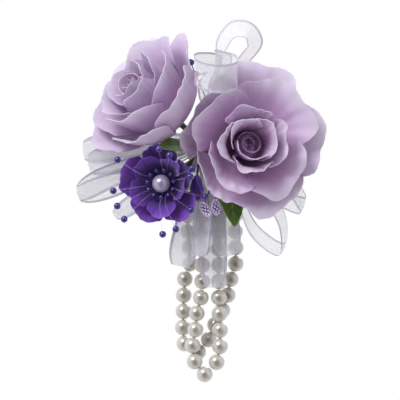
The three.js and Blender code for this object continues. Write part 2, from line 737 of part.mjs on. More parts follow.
// A teardrop from root to tip: it opens by the bulge to both sides and comes back beside its start.
// The fold at the tip is drawn in by the pinch, as a share of the width.
function teardrop(name, root, tip, side, bulge, width = RIBBON_WIDTH, pinch = 0) {
  const start = vector(root);
  const along = vector(tip).sub(start);
  const across = new THREE.Vector3().crossVectors(along, vector(side)).normalize();
  const open = new THREE.Vector3().crossVectors(across, along).normalize();
  const at = (share, out) => start.clone().addScaledVector(along, share).addScaledVector(open, out);
  const tail = (RIBBON_THICKNESS + TAIL_GAP) / 2;
  const points = [at(0, tail), at(0.35, 0.7 * bulge), at(0.75, bulge), at(1, 0),
    at(0.75, -bulge), at(0.35, -0.7 * bulge), at(0, -tail)];
  const form = ribbonStrip(points, points.map(() => across), width, pinch);
  piece(corsage, name, form, finishes.ribbon);
}

// A root on the side of the tie, at an angle from +X towards +Z
function tieRoot(degrees, y) {
  const angle = THREE.MathUtils.degToRad(degrees);
  const radius = tieRadius + GAP + RIBBON_THICKNESS;
  return [radius * Math.cos(angle), y, BUNDLE_RISE + radius * Math.sin(angle)];
}

const upperTip = [-66, -10, 0];
teardrop('ribbon_left_upper_loop', tieRoot(168, -6.5), upperTip, [0, 1, 0.25], 3.2, RIBBON_WIDTH, 0.35);
teardrop('ribbon_left_middle_loop', tieRoot(180, -11), [-63, -19, -7], [0, 1, 0.25], 3, RIBBON_WIDTH, 0.35);
const lowerTip = [-68, -32, -22];
teardrop('ribbon_left_lower_loop', tieRoot(190, -13.5), lowerTip, [0, 0.88, 0.5], 4.5, RIBBON_WIDTH, 0.4);
const underTip = [-50, -17, -33];
teardrop('ribbon_under_flower_loop', tieRoot(228, -11.5), underTip, [0, 1, 0.2], 1.8, NARROW_WIDTH, 0.55);
const leftTip = [-17, -26.5, -58];
teardrop('ribbon_bottom_left_loop', [-5.5, -24, -1.5], leftTip, [0, 1, 0.1], 1.8, RIBBON_WIDTH, 0.4);
const middleTip = [-7, -34, -53];
teardrop('ribbon_bottom_middle_loop', [-3, -26.9, -1.5], middleTip, [0.4, 0.9, 0], 1.5, NARROW_WIDTH, 0.4);
const rightTip = [7, -25.5, -53];
teardrop('ribbon_bottom_right_loop', [3.5, -23.6, -1.5], rightTip, [0, 1, 0], 1.4, RIBBON_WIDTH, 0.5);
teardrop('ribbon_long_loop', [0, -21.6, -1.5], [-0.5, -21.9, -69], [0, 1, 0], 0.8, RIBBON_WIDTH, 0.6);
teardrop('ribbon_right_low_loop', tieRoot(-36, -13), [34, -31, -50], [0.8, 0.4, 0.45], 8);
teardrop('ribbon_right_back_loop', tieRoot(-12, -8), [45, -20, -28], [0.3, 0.6, 0.75], 5);

// A loop along its own path: each row is a point and the direction of the ribbon's width there
function pathLoop(name, rows) {
  const points = rows.map(([point]) => vector(point));
  const across = rows.map(([, direction]) => vector(direction));
  piece(corsage, name, ribbonStrip(points, across, RIBBON_WIDTH), finishes.ribbon);
}

// The top loop shows its outside at the crown and its inside on the right.
pathLoop('ribbon_top_loop', [
  [tieRoot(77, -8), [0, 1, 0.05]],
  [[4, -12, 32], [0, 1, 0.1]],
  [[2.5, -15, 44], [-0.1, 0.95, 0.3]],
  [[4, -18.5, 53], [-0.35, 0.85, 0.4]],
  [[10, -21, 60.5], [-0.1, 0.8, 0.6]],
  [[17, -20, 60], [0.3, 0.8, 0.5]],
  [[20.5, -17, 53.5], [0.55, 0.8, 0.1]],
  [[15.5, -14, 46], [0.5, 0.85, -0.1]],
  [[9, -10.5, 36], [0.3, 0.95, 0]],
  [tieRoot(64, -8), [0, 1, 0.05]],
]);

// The front loop goes round a ring above the roses that tips towards the front.
const ringWidth = [0, -0.35, 0.93];
pathLoop('ribbon_front_loop', [
  [tieRoot(104, -12.5), [0, 1, 0.05]],
  [[-4, -22, 32], [0.8, 0.3, 0.2]],
  [[0, -36, 42.5], [0.5, -0.3, 0.8]],
  [[-8, -44.5, 42], ringWidth],
  [[-9.5, -53, 39], ringWidth],
  [[-4.5, -61, 35.5], ringWidth],
  [[4, -62.5, 34.5], ringWidth],
  [[11, -56, 36.5], ringWidth],
  [[10, -47, 40.5], ringWidth],
  [[0.5, -41, 43.5], ringWidth],
  [[5, -35, 43], [0.5, -0.3, 0.8]],
  [[1, -22, 32], [0.8, 0.3, 0.2]],
  [tieRoot(96, -12.5), [0, 1, 0.05]],
]);

export default corsage;
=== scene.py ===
# %% [markdown]
# A wrist corsage: two lilac fabric roses and a purple beaded flower, with leaves and loops of sheer ribbon,
# on a bracelet of two pearl strands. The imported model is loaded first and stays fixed. Every surface made
# here lies where its solid lies, so the file repeats the few sizes that place the flowers and the strands.

# %% Load the frame
import json
import math

import bpy
import numpy as np
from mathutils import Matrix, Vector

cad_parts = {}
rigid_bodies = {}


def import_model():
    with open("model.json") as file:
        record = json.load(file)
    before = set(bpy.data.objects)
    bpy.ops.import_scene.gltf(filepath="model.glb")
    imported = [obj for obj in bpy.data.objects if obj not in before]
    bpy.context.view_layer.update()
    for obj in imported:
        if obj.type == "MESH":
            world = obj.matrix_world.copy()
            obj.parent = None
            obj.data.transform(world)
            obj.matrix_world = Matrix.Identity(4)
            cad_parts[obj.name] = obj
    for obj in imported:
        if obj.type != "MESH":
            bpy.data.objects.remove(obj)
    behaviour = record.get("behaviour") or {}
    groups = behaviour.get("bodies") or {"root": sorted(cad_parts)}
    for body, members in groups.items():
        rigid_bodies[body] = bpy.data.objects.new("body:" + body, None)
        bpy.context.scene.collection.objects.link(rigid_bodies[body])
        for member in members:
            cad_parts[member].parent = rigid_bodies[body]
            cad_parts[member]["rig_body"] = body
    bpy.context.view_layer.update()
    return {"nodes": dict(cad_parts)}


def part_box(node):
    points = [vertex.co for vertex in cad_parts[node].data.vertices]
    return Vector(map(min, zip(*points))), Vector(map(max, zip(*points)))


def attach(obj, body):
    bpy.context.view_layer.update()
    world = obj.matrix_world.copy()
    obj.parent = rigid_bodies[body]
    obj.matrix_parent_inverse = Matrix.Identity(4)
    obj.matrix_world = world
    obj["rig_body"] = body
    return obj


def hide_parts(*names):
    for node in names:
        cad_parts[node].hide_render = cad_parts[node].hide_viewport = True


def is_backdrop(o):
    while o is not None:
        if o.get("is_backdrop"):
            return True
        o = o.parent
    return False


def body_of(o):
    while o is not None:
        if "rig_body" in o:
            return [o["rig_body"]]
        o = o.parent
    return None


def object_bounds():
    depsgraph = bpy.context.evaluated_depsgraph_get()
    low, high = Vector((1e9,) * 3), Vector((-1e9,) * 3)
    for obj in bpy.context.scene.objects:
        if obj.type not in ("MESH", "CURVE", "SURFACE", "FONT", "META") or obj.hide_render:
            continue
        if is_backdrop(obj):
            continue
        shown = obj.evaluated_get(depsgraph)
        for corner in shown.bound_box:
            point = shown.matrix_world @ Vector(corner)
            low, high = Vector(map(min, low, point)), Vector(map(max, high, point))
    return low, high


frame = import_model()
MM = 0.001

# %% [markdown]
# The photograph is square and shows 200 mm of width, with 8 mm pearls 16 pixels across. A long lens from far
# away keeps the near roses and the far pearls at one scale, as in the photograph.

# %% Camera
PHOTO_PIXELS = 400
MM_PER_PIXEL = 0.5
ORIGIN_PIXEL = (214, 150)
SENSOR = 36.0
CAMERA_DISTANCE = 1.7
FACE_DEPTH = -30 * MM
aim_x = (PHOTO_PIXELS / 2 - ORIGIN_PIXEL[0]) * MM_PER_PIXEL * MM
aim_z = (ORIGIN_PIXEL[1] - PHOTO_PIXELS / 2) * MM_PER_PIXEL * MM
lens = bpy.data.cameras.new("photo_camera")
lens.sensor_width = SENSOR
lens.lens = SENSOR * CAMERA_DISTANCE / (PHOTO_PIXELS * MM_PER_PIXEL * MM)
camera = bpy.data.objects.new("photo_camera", lens)
camera.location = (aim_x, FACE_DEPTH - CAMERA_DISTANCE, aim_z)
camera.rotation_euler = (math.pi / 2, 0, 0)
bpy.context.scene.collection.objects.link(camera)
bpy.context.scene.camera = camera
bpy.context.scene.view_settings.view_transform = "Standard"
print("lens", round(lens.lens, 1))

# %% [markdown]
# Light is plain and soft: a lamp high on the left, a weaker one on the right, one behind, and a pale sky
# with a dark patch in front for the glossy beads. The background is white to the camera only.

# %% Lamps, sky and floor
def soft_lamp(name, place, target, size, power):
    """A square lamp at place, turned so that its face looks at target."""
    data = bpy.data.lights.new(name, "AREA")
    data.size = size
    data.energy = power
    lamp = bpy.data.objects.new(name, data)
    lamp.location = place
    way = np.array(target) - np.array(place)
    flat = math.hypot(way[0], way[1])
    lamp.rotation_euler = (math.pi / 2 + math.atan2(way[2], flat), 0, math.atan2(-way[0], way[1]))
    bpy.context.scene.collection.objects.link(lamp)


HEART = (0.0, -0.03, 0.0)
soft_lamp("key_lamp", (-0.55, -0.75, 0.75), HEART, 0.5, 10.5)
soft_lamp("fill_lamp", (0.8, -0.7, 0.1), HEART, 1.3, 2.2)
soft_lamp("back_lamp", (0.2, 0.9, 0.7), HEART, 0.7, 6.0)

SKY_STRENGTH = 0.75
SKY_COLOUR = (0.95, 0.96, 1.0, 1)
PATCH_COLOUR = (0.07, 0.055, 0.045, 1)
PATCH_WAY = (0.2, -0.93, -0.3)
PATCH_START = 0.45
PATCH_END = 0.9
sky = bpy.data.worlds.new("studio_sky")
bpy.context.scene.world = sky
sky.use_nodes = True
sky_nodes = sky.node_tree.nodes
sky_links = sky.node_tree.links
sky_nodes.clear()
sky_out = sky_nodes.new("ShaderNodeOutputWorld")
sky_mix = sky_nodes.new("ShaderNodeMixShader")
sky_light = sky_nodes.new("ShaderNodeBackground")
sky_white = sky_nodes.new("ShaderNodeBackground")
sky_path = sky_nodes.new("ShaderNodeLightPath")
sky_way = sky_nodes.new("ShaderNodeTexCoord")
sky_front = sky_nodes.new("ShaderNodeVectorMath")
sky_front.operation = "DOT_PRODUCT"
sky_front.inputs[1].default_value = PATCH_WAY
sky_ramp = sky_nodes.new("ShaderNodeValToRGB")
sky_ramp.color_ramp.elements[0].position = PATCH_START
sky_ramp.color_ramp.elements[0].color = SKY_COLOUR
sky_ramp.color_ramp.elements[1].position = PATCH_END
sky_ramp.color_ramp.elements[1].color = PATCH_COLOUR
sky_links.new(sky_way.outputs["Generated"], sky_front.inputs[0])
sky_links.new(sky_front.outputs["Value"], sky_ramp.inputs[0])
sky_links.new(sky_ramp.outputs["Color"], sky_light.inputs["Color"])
sky_light.inputs["Strength"].default_value = SKY_STRENGTH
sky_white.inputs["Color"].default_value = (1, 1, 1, 1)
sky_white.inputs["Strength"].default_value = 1.0
sky_links.new(sky_path.outputs["Is Camera Ray"], sky_mix.inputs[0])
sky_links.new(sky_light.outputs[0], sky_mix.inputs[1])
sky_links.new(sky_white.outputs[0], sky_mix.inputs[2])
sky_links.new(sky_mix.outputs[0], sky_out.inputs[0])

FLOOR_Z = -0.3
FLOOR_RADIUS = 0.5
FLOOR_SIDES = 64
bpy.ops.mesh.primitive_circle_add(
    vertices=FLOOR_SIDES, radius=FLOOR_RADIUS, fill_type="NGON", location=(0, 0, FLOOR_Z))
floor = bpy.context.object
floor.name = "floor"
floor.visible_glossy = False
floor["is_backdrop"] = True

# %% [markdown]
# Every piece below is a grid of points from a formula. These helpers close a thin sheet, carry a ring along a
# path, and copy a ball, always as whole arrays, and then put the points into one mesh with a cloth map.

# %% Mesh helpers
def unit(v):
    """Vectors divided by their length."""
    v = np.asarray(v, float)
    return v / np.linalg.norm(v, axis=-1, keepdims=True)


def grid_quads(rows, cols, wrap=False):
    """Corner numbers of the cells of a grid, row by row; wrap joins the last column to the first."""
    r, c = np.meshgrid(np.arange(rows - 1), np.arange(cols if wrap else cols - 1), indexing="ij")
    a = r * cols + c
    b = r * cols + (c + 1) % cols
    return np.stack([a, b, b + cols, a + cols], -1).reshape(-1, 4)


def sheet_part(points, thickness, u, v, tone):
    """A closed sheet: the grid moved half a thickness along its normals each way, and its border walled."""
    rows, cols = points.shape[:2]
    along = np.gradient(points, axis=0)
    across = np.gradient(points, axis=1)
    normal = np.cross(along, across)
    normal /= np.maximum(np.linalg.norm(normal, axis=-1, keepdims=True), 1e-12)
    front = (points + normal * thickness / 2).reshape(-1, 3)
    back = (points - normal * thickness / 2).reshape(-1, 3)
    quads = grid_quads(rows, cols)
    index = np.arange(rows * cols).reshape(rows, cols)
    rim = np.concatenate([index[0, :-1], index[:-1, -1], index[-1, :0:-1], index[:0:-1, 0]])
    after = np.roll(rim, -1)
    count = rows * cols
    walls = np.stack([rim, rim + count, after + count, after], -1)
    faces = np.concatenate([quads[:, ::-1], quads + count, walls[:, ::-1]])
    maps = np.stack(np.broadcast_arrays(u + 0 * v, v + 0 * u), -1).reshape(-1, 2)
    tones = np.broadcast_to(tone, (rows, cols)).reshape(-1)
    return np.concatenate([front, back]), faces, np.tile(maps, (2, 1)), np.tile(tones, 2)


def ball_parts(centres, radius, sides=20, rings=12, squash=(1, 1, 1)):
    """Balls at the centres: rings of latitude, whose first and last rings are closed by the poles."""
    lat = np.linspace(0, np.pi, rings + 1)[1:-1]
    lon = np.linspace(0, 2 * np.pi, sides, endpoint=False)
    lat_grid, lon_grid = np.meshgrid(lat, lon, indexing="ij")
    flat = np.sin(lat_grid)
    shell = np.stack([flat * np.cos(lon_grid), flat * np.sin(lon_grid), np.cos(lat_grid)], -1)
    one = np.concatenate([shell.reshape(-1, 3), [[0, 0, 1], [0, 0, -1]]]) * np.asarray(squash)
    quads = grid_quads(rings - 1, sides, wrap=True)
    top = len(one) - 2
    ring = np.arange(sides)
    nxt = (ring + 1) % sides
    last = (rings - 2) * sides
    caps = np.concatenate([
        np.stack([ring, np.full(sides, top), np.full(sides, top), nxt], -1),
        np.stack([last + nxt, np.full(sides, top + 1), np.full(sides, top + 1), last + ring], -1),
    ])
    faces = np.concatenate([quads[:, ::-1], caps[:, ::-1]])
    centres = np.atleast_2d(centres)
    points = (centres[:, None] + one[None] * radius).reshape(-1, 3)
    all_faces = (faces[None] + (np.arange(len(centres)) * len(one))[:, None, None]).reshape(-1, 4)
    maps = np.zeros((len(points), 2))
    return points, all_faces, maps, np.zeros(len(points))


def wrapped_part(points, u, v, tone):
    """A closed body from rings of points: each ring joins the next, and each end closes on its middle."""
    rings, sides = points.shape[:2]
    body = points.reshape(-1, 3)
    ends = np.stack([points[0].mean(0), points[-1].mean(0)])
    quads = grid_quads(rings, sides, wrap=True)
    k = np.arange(sides)
    nxt = (k + 1) % sides
    start = np.full(sides, rings * sides)
    last = (rings - 1) * sides
    caps = np.concatenate([
        np.stack([start, nxt, k, start], -1),
        np.stack([start + 1, last + k, last + nxt, start + 1], -1),
    ])
    grid = (rings, sides)
    maps = np.stack([np.broadcast_to(u, grid), np.broadcast_to(v, grid)], -1).reshape(-1, 2)
    tones = np.broadcast_to(tone, grid).reshape(-1)
    maps = np.concatenate([maps, maps[:1], maps[-1:]])
    tones = np.concatenate([tones, tones[:1], tones[-1:]])
    return np.concatenate([body, ends]), np.concatenate([quads, caps]), maps, tones


def path_frames(path):
    """Two directions square to a path at each point, which turn as little as they can along it."""
    tangent = unit(np.gradient(path, axis=0))
    side = np.cross(tangent[0], [0.3, 0.2, 1.0])
    sides = []
    for way in tangent:
        side = unit(side - way * side.dot(way))
        sides.append(side)
    sides = np.array(sides)
    return sides, np.cross(tangent, sides)


def tube_part(path, radius, sides=10, tone=0.0):
    """A round section carried along a path, closed at both ends."""
    path = np.asarray(path, float)
    side, other = path_frames(path)
    turn = np.linspace(0, 2 * np.pi, sides, endpoint=False)[None, :]
    ring = np.cos(turn)[..., None] * side[:, None] + np.sin(turn)[..., None] * other[:, None]
    reach = np.concatenate([[0], np.cumsum(np.linalg.norm(np.diff(path, axis=0), axis=1))])
    return wrapped_part(path[:, None] + ring * radius, reach[:, None], turn, tone)


def make_piece(name, parts, finish, body, nodes, sharp=40.0):
    """Joins parts into one mesh at the origin, names its map and its tone, and hangs it on a body.

    A four-cornered face that names one corner twice is a triangle, so the second mention is left out."""
    counts = np.cumsum([0] + [len(p[0]) for p in parts])
    points = np.concatenate([p[0] for p in parts])
    faces = np.concatenate([p[1] + k for p, k in zip(parts, counts)])
    maps = np.concatenate([p[2] for p in parts])
    tones = np.concatenate([p[3] for p in parts])
    keep = np.ones(faces.shape, bool)
    keep[:, 3] = faces[:, 0] != faces[:, 3]
    keep[:, 2] = faces[:, 1] != faces[:, 2]
    loops = faces[keep].astype(np.int32)
    sizes = keep.sum(1)
    mesh = bpy.data.meshes.new(name)
    mesh.vertices.add(len(points))
    mesh.vertices.foreach_set("co", points.astype(np.float32).ravel())
    mesh.loops.add(len(loops))
    mesh.loops.foreach_set("vertex_index", loops)
    mesh.polygons.add(len(faces))
    mesh.polygons.foreach_set("loop_start", (np.cumsum(sizes) - sizes).astype(np.int32))
    mesh.update(calc_edges=True)
    layer = mesh.uv_layers.new(name="cloth")
    layer.data.foreach_set("uv", maps[loops].astype(np.float32).ravel())
    tone = mesh.attributes.new("tone", "FLOAT", "POINT")
    tone.data.foreach_set("value", tones.astype(np.float32))
    mesh.polygons.foreach_set("use_smooth", np.ones(len(mesh.polygons), bool))
    mesh.set_sharp_from_angle(angle=math.radians(sharp))
    mesh.materials.append(finish)
    piece = bpy.data.objects.new(name, mesh)
    bpy.context.scene.collection.objects.link(piece)
    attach(piece, body)
    if nodes:
        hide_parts(*nodes)
    print(name, len(mesh.vertices), "points")
    return piece


SAME_POINT = 1e-4


def smooth_path(points, steps):
    """A centripetal Catmull-Rom curve through the points, with steps samples, as the solids use it.

    Each span is a cubic whose end slopes weigh the neighbouring spans by the square root of their lengths."""
    p = np.asarray(points, float)
    p = np.concatenate([[2 * p[0] - p[1]], p, [2 * p[-1] - p[-2]]])
    at = np.linspace(0, len(p) - 3, steps)
    i = np.minimum(at.astype(int), len(p) - 4)
    w = (at - i)[:, None]
    a, b, c, d = p[i], p[i + 1], p[i + 2], p[i + 3]
    ab, bc, cd = (np.sqrt(np.linalg.norm(v, axis=1))[:, None] for v in (b - a, c - b, d - c))
    bc = np.where(bc < SAME_POINT, 1, bc)
    ab = np.where(ab < SAME_POINT, bc, ab)
    cd = np.where(cd < SAME_POINT, bc, cd)
    first = ((b - a) / ab - (c - a) / (ab + bc) + (c - b) / bc) * bc
    second = ((c - b) / bc - (d - b) / (bc + cd) + (d - c) / cd) * bc
    cubic = 2 * b - 2 * c + first + second
    square = -3 * b + 3 * c - 2 * first - second
    return b + first * w + square * w**2 + cubic * w**3


# %% [markdown]
# Finishes are procedural. Cloth takes its colour from the tone of each point, which runs from the base of a
# petal to its rim, with a fine weave from the cloth map in millimetres. On petals the tone is painted shade
# and
# light: darker at the base, where the cup is shaded, and paler at the rim as a painted highlight. Ribbon is
# sheer between satin edges.

# %% Finishes
THREAD_HEIGHT = 0.1 * MM
SCATTER = dict(Subsurface_Weight=0.2, Subsurface_Scale=2 * MM, Subsurface_Radius=(1, 1, 1))
DYE_SPREAD = 0.24


def srgb(red, green, blue):
    """A colour given in 0 to 255 as linear light."""
    c = np.array([red, green, blue]) / 255
    linear = np.where(c <= 0.04045, c / 12.92, ((c + 0.055) / 1.055) ** 2.4)
    return (*linear.tolist(), 1.0)


def plain(name, colour, roughness, **sockets):
    """A Principled finish with one colour; sockets are constant values by the socket's name."""
    finish = bpy.data.materials.new(name)
    finish.use_nodes = True
    shader = finish.node_tree.nodes["Principled BSDF"]
    shader.inputs["Base Color"].default_value = colour
    shader.inputs["Roughness"].default_value = roughness
    for socket, value in sockets.items():
        shader.inputs[socket.replace("_", " ")].default_value = value
    return finish


def add(finish, kind, **values):
    """A new node in a finish, with the inputs that are named set to values."""
    node = finish.node_tree.nodes.new(kind)
    for socket, value in values.items():
        node.inputs[socket.replace("_", " ")].default_value = value
    return node


def join(finish, source, output, target, inlet):
    """A link between two nodes of a finish."""
    finish.node_tree.links.new(source.outputs[output], target.inputs[inlet])


def ramp(finish, stops):
    """A colour ramp whose stops are (place, colour)."""
    node = finish.node_tree.nodes.new("ShaderNodeValToRGB")
    line = node.color_ramp
    for k, (place, colour) in enumerate(stops):
        stop = line.elements[k] if k < 2 else line.elements.new(place)
        stop.position = place
        stop.color = colour
    return node


def tone_of(finish):
    """The tone attribute of a finish's mesh."""
    node = finish.node_tree.nodes.new("ShaderNodeAttribute")
    node.attribute_name = "tone"
    return node


def weave_bump(finish, per_mm, strength):
    """Threads across and along the cloth map, as the higher of two waves, into the shader's normal."""
    tree = finish.node_tree
    place = tree.nodes.new("ShaderNodeUVMap")
    place.uv_map = "cloth"
    thread = dict(Scale=per_mm * 2.0, Distortion=0.6, Detail=1.0, Detail_Scale=1.0)
    warp = add(finish, "ShaderNodeTexWave", **thread)
    weft = add(finish, "ShaderNodeTexWave", **thread)
    weft.bands_direction = "Y"
    both = tree.nodes.new("ShaderNodeMath")
    both.operation = "MAXIMUM"
    bump = add(finish, "ShaderNodeBump", Strength=strength, Distance=THREAD_HEIGHT)
    join(finish, place, "UV", warp, "Vector")
    join(finish, place, "UV", weft, "Vector")
    join(finish, warp, "Fac", both, 0)
    join(finish, weft, "Fac", both, 1)
    join(finish, both, 0, bump, "Height")
    join(finish, bump, "Normal", tree.nodes["Principled BSDF"], "Normal")


def cloth(name, stops, roughness, sheen, per_mm, strength):
    """Cloth coloured along its tone, which on petals is painted shade and highlight, with a weave and slow
    blotches of dye.
    """
    gloss = dict(Sheen_Weight=sheen, Sheen_Roughness=0.5, Specular_IOR_Level=0.25)
    finish = plain(name, (1, 1, 1, 1), roughness, **gloss, **SCATTER)
    colours = ramp(finish, stops)
    where = finish.node_tree.nodes.new("ShaderNodeTexCoord")
    blot = add(finish, "ShaderNodeTexNoise", Scale=120.0, Detail=3.0)
    spread = finish.node_tree.nodes.new("ShaderNodeMath")
    spread.operation = "MULTIPLY_ADD"
    spread.inputs[1].default_value = DYE_SPREAD
    join(finish, where, "Object", blot, "Vector")
    join(finish, blot, "Fac", spread, 0)
    shift = finish.node_tree.nodes.new("ShaderNodeMath")
    shift.operation = "SUBTRACT"
    shift.inputs[1].default_value = DYE_SPREAD / 2
    join(finish, tone_of(finish), "Fac", shift, 0)
    join(finish, shift, 0, spread, 2)
    join(finish, spread, 0, colours, "Fac")
    join(finish, colours, "Color", finish.node_tree.nodes["Principled BSDF"], "Base Color")
    weave_bump(finish, per_mm, strength)
    return finish


# The lilac ramp is painted shade and light: deep mauve at a petal's base for the shaded cup, pale at the rim
# as a highlight.
lilac_cloth = cloth(
    "lilac_cloth",
    [(0.0, srgb(142, 96, 148)), (0.45, srgb(194, 158, 199)),
     (0.85, srgb(208, 190, 218)), (1.0, srgb(216, 206, 226))],
    0.85, 0.2, 1.6, 0.2)
# The purple ramp is painted shade and sheen too: dark at the base of a petal, bright at its rim.
purple_cloth = cloth(
    "purple_cloth",
    [(0.0, srgb(26, 10, 58)), (0.5, srgb(58, 24, 112)), (0.9, srgb(102, 48, 164)), (1.0, srgb(124, 70, 184))],
    0.6, 0.3, 1.6, 0.3)
leaf_cloth = cloth(
    "leaf_cloth",
    [(0.0, srgb(48, 66, 22)), (0.6, srgb(84, 116, 36)), (1.0, srgb(136, 166, 64))],
    0.6, 0.1, 1.6, 0.3)
stem_tape = cloth(
    "stem_tape",
    [(0.0, srgb(60, 84, 40)), (1.0, srgb(92, 120, 60))],
    0.75, 0.1, 0.6, 0.5)
felt_cloth = cloth(
    "felt_cloth",
    [(0.0, srgb(232, 228, 234)), (1.0, srgb(244, 242, 246))],
    0.95, 0.5, 0.8, 0.2)

# %% Pearls, beads and plain parts
PEARL_CLOUD = 0.2


def pearl_finish(name, core, body, rim, roughness):
    """A pearl: a soft coat over a cloudy body that is darkest where it faces the eye and palest at its rim,
    a painted reflection of the dark room in front and of the white round it.

    Light that it throws on others is dull, with no glints."""
    finish = plain(name, body, roughness, Metallic=0.2, Coat_Weight=1.0, Coat_Roughness=0.28, Coat_IOR=2.2)
    ray = finish.node_tree.nodes.new("ShaderNodeLightPath")
    shader = finish.node_tree.nodes["Principled BSDF"]
    for socket, dull in [("Metallic", 0.0), ("Coat Weight", 0.0), ("Roughness", 0.9)]:
        choice = finish.node_tree.nodes.new("ShaderNodeMath")
        choice.operation = "MULTIPLY_ADD"
        choice.inputs[1].default_value = shader.inputs[socket].default_value - dull
        choice.inputs[2].default_value = dull
        join(finish, ray, "Is Camera Ray", choice, 0)
        join(finish, choice, 0, shader, socket)
    where = finish.node_tree.nodes.new("ShaderNodeTexCoord")
    cloud = add(finish, "ShaderNodeTexNoise", Scale=90.0, Detail=2.0)
    facing = add(finish, "ShaderNodeLayerWeight", Blend=0.5)
    depth = finish.node_tree.nodes.new("ShaderNodeMath")
    depth.operation = "MULTIPLY_ADD"
    depth.inputs[1].default_value = PEARL_CLOUD
    # Painted reflection: the facing ramp darkens the middle and lightens the rim, as the room would reflect.
    colours = ramp(finish, [(0.08, core), (0.6, rim), (0.22, body)])
    join(finish, where, "Object", cloud, "Vector")
    join(finish, cloud, "Fac", depth, 0)
    join(finish, facing, "Facing", depth, 2)
    join(finish, depth, 0, colours, "Fac")
    join(finish, colours, "Color", shader, "Base Color")
    return finish


# The core and rim colours are the painted reflection; the body colour is the pearl's own.
ivory_pearl = pearl_finish("ivory_pearl", srgb(146, 136, 120), srgb(190, 185, 175), srgb(210, 206, 197), 0.3)
lilac_pearl = pearl_finish("lilac_pearl", srgb(142, 130, 164), srgb(160, 150, 180), srgb(182, 172, 200), 0.2)
violet_bead = plain("violet_bead", srgb(46, 32, 118), 0.1, Coat_Weight=0.8)
berry_bead = plain("berry_bead", srgb(222, 204, 240), 0.12, Coat_Weight=0.8)
berry_core = plain("berry_core", srgb(78, 50, 112), 0.6)
clear_line = plain("clear_line", srgb(190, 168, 214), 0.15, Alpha=0.3)
elastic = plain("elastic", srgb(206, 186, 152), 0.7)
clear_plate = plain("clear_plate", srgb(232, 230, 224), 0.3)

# %% Sheer ribbon
RIBBON_EDGE = 0.8
SATIN_START = RIBBON_EDGE + 0.02
SATIN_ALPHA = 0.75


def sheer_finish(name, body_alpha):
    """Organza between satin edges: the tone is 0 along the middle and 1 on the edges, and sets the alpha."""
    finish = plain(name, srgb(226, 225, 236), 0.4, Sheen_Weight=0.2, **SCATTER)
    shader = finish.node_tree.nodes["Principled BSDF"]
    clear = ramp(finish, [(RIBBON_EDGE, (*[body_alpha] * 3, 1)), (SATIN_START, (*[SATIN_ALPHA] * 3, 1))])
    tint = ramp(finish, [(RIBBON_EDGE, srgb(232, 231, 238)), (SATIN_START, srgb(206, 203, 218))])
    tone = tone_of(finish)
    join(finish, tone, "Fac", clear, "Fac")
    join(finish, tone, "Fac", tint, "Fac")
    join(finish, clear, "Color", shader, "Alpha")
    join(finish, tint, "Color", shader, "Base Color")
    weave_bump(finish, 2.0, 0.3)
    return finish


sheer_ribbon = sheer_finish("sheer_ribbon", 0.24)
tie_ribbon = plain("tie_ribbon", srgb(228, 226, 236), 0.45, Sheen_Weight=0.2)

# %% [markdown]
# A flower is set by its base, the way it faces and the spin of its petals. Each petal layer is a bowl: a
# curve from the hub edge to the rim, turned round the axis. Petals lap their neighbours, curl back at the
# rim and ruffle, and the innermost petal of a rose is one strip rolled round a folded heart. Sizes are in
# millimetres.

# %% Flower frame and petal
ROOT = "corsage"
PETAL_CLOTH = 0.3
EDGE_JAG = 0.003
CREASE = 0.09
RIM_START = 0.7
PETAL_MAP = (16, 30)
ROSE_HUB = dict(radius=4.5, thickness=1.2)
ROSE_HUB_EDGE = 4.1
ROSE_LEVEL = 1.7
PURPLE_HUB = dict(radius=3.0, thickness=1.0)
PURPLE_HUB_EDGE = 2.6
PURPLE_LEVEL = 1.3
SEPALS = 5
CALYX_LENGTH = 8.0
STEM_RADIUS = 1.5
FIT = 0.3


def flower_frame(base, facing):
    """Returns place(radius, angle, height): a point about the flower's axis, in metres in the shared frame.

    The axis is turned from +Z to facing by the shortest turn, written with the cross product's matrix."""
    axis = unit(facing)
    v = np.cross([0, 0, 1], axis)
    skew = np.array([[0, -v[2], v[1]], [v[2], 0, -v[0]], [-v[1], v[0], 0]])
    turn = np.eye(3) + skew + skew @ skew / (1 + axis[2])
    base = np.array(base, float)

    def place(radius, angle, height):
        local = np.stack(np.broadcast_arrays(radius * np.cos(angle), radius * np.sin(angle), height), -1)
        return (local @ turn.T + base) * MM

    return place


def bowl_point(profile, t):
    """Radius and height on the bowl's cubic curve at share t, and the unit way along it."""
    a, b, c, d = (np.array(p, float) for p in profile)
    t = np.asarray(t)[..., None]
    at = a * (1 - t) ** 3 + 3 * b * t * (1 - t) ** 2 + 3 * c * t**2 * (1 - t) + d * t**3
    way = 3 * (b - a) * (1 - t) ** 2 + 6 * (c - b) * t * (1 - t) + 3 * (d - c) * t**2
    return at, unit(way)


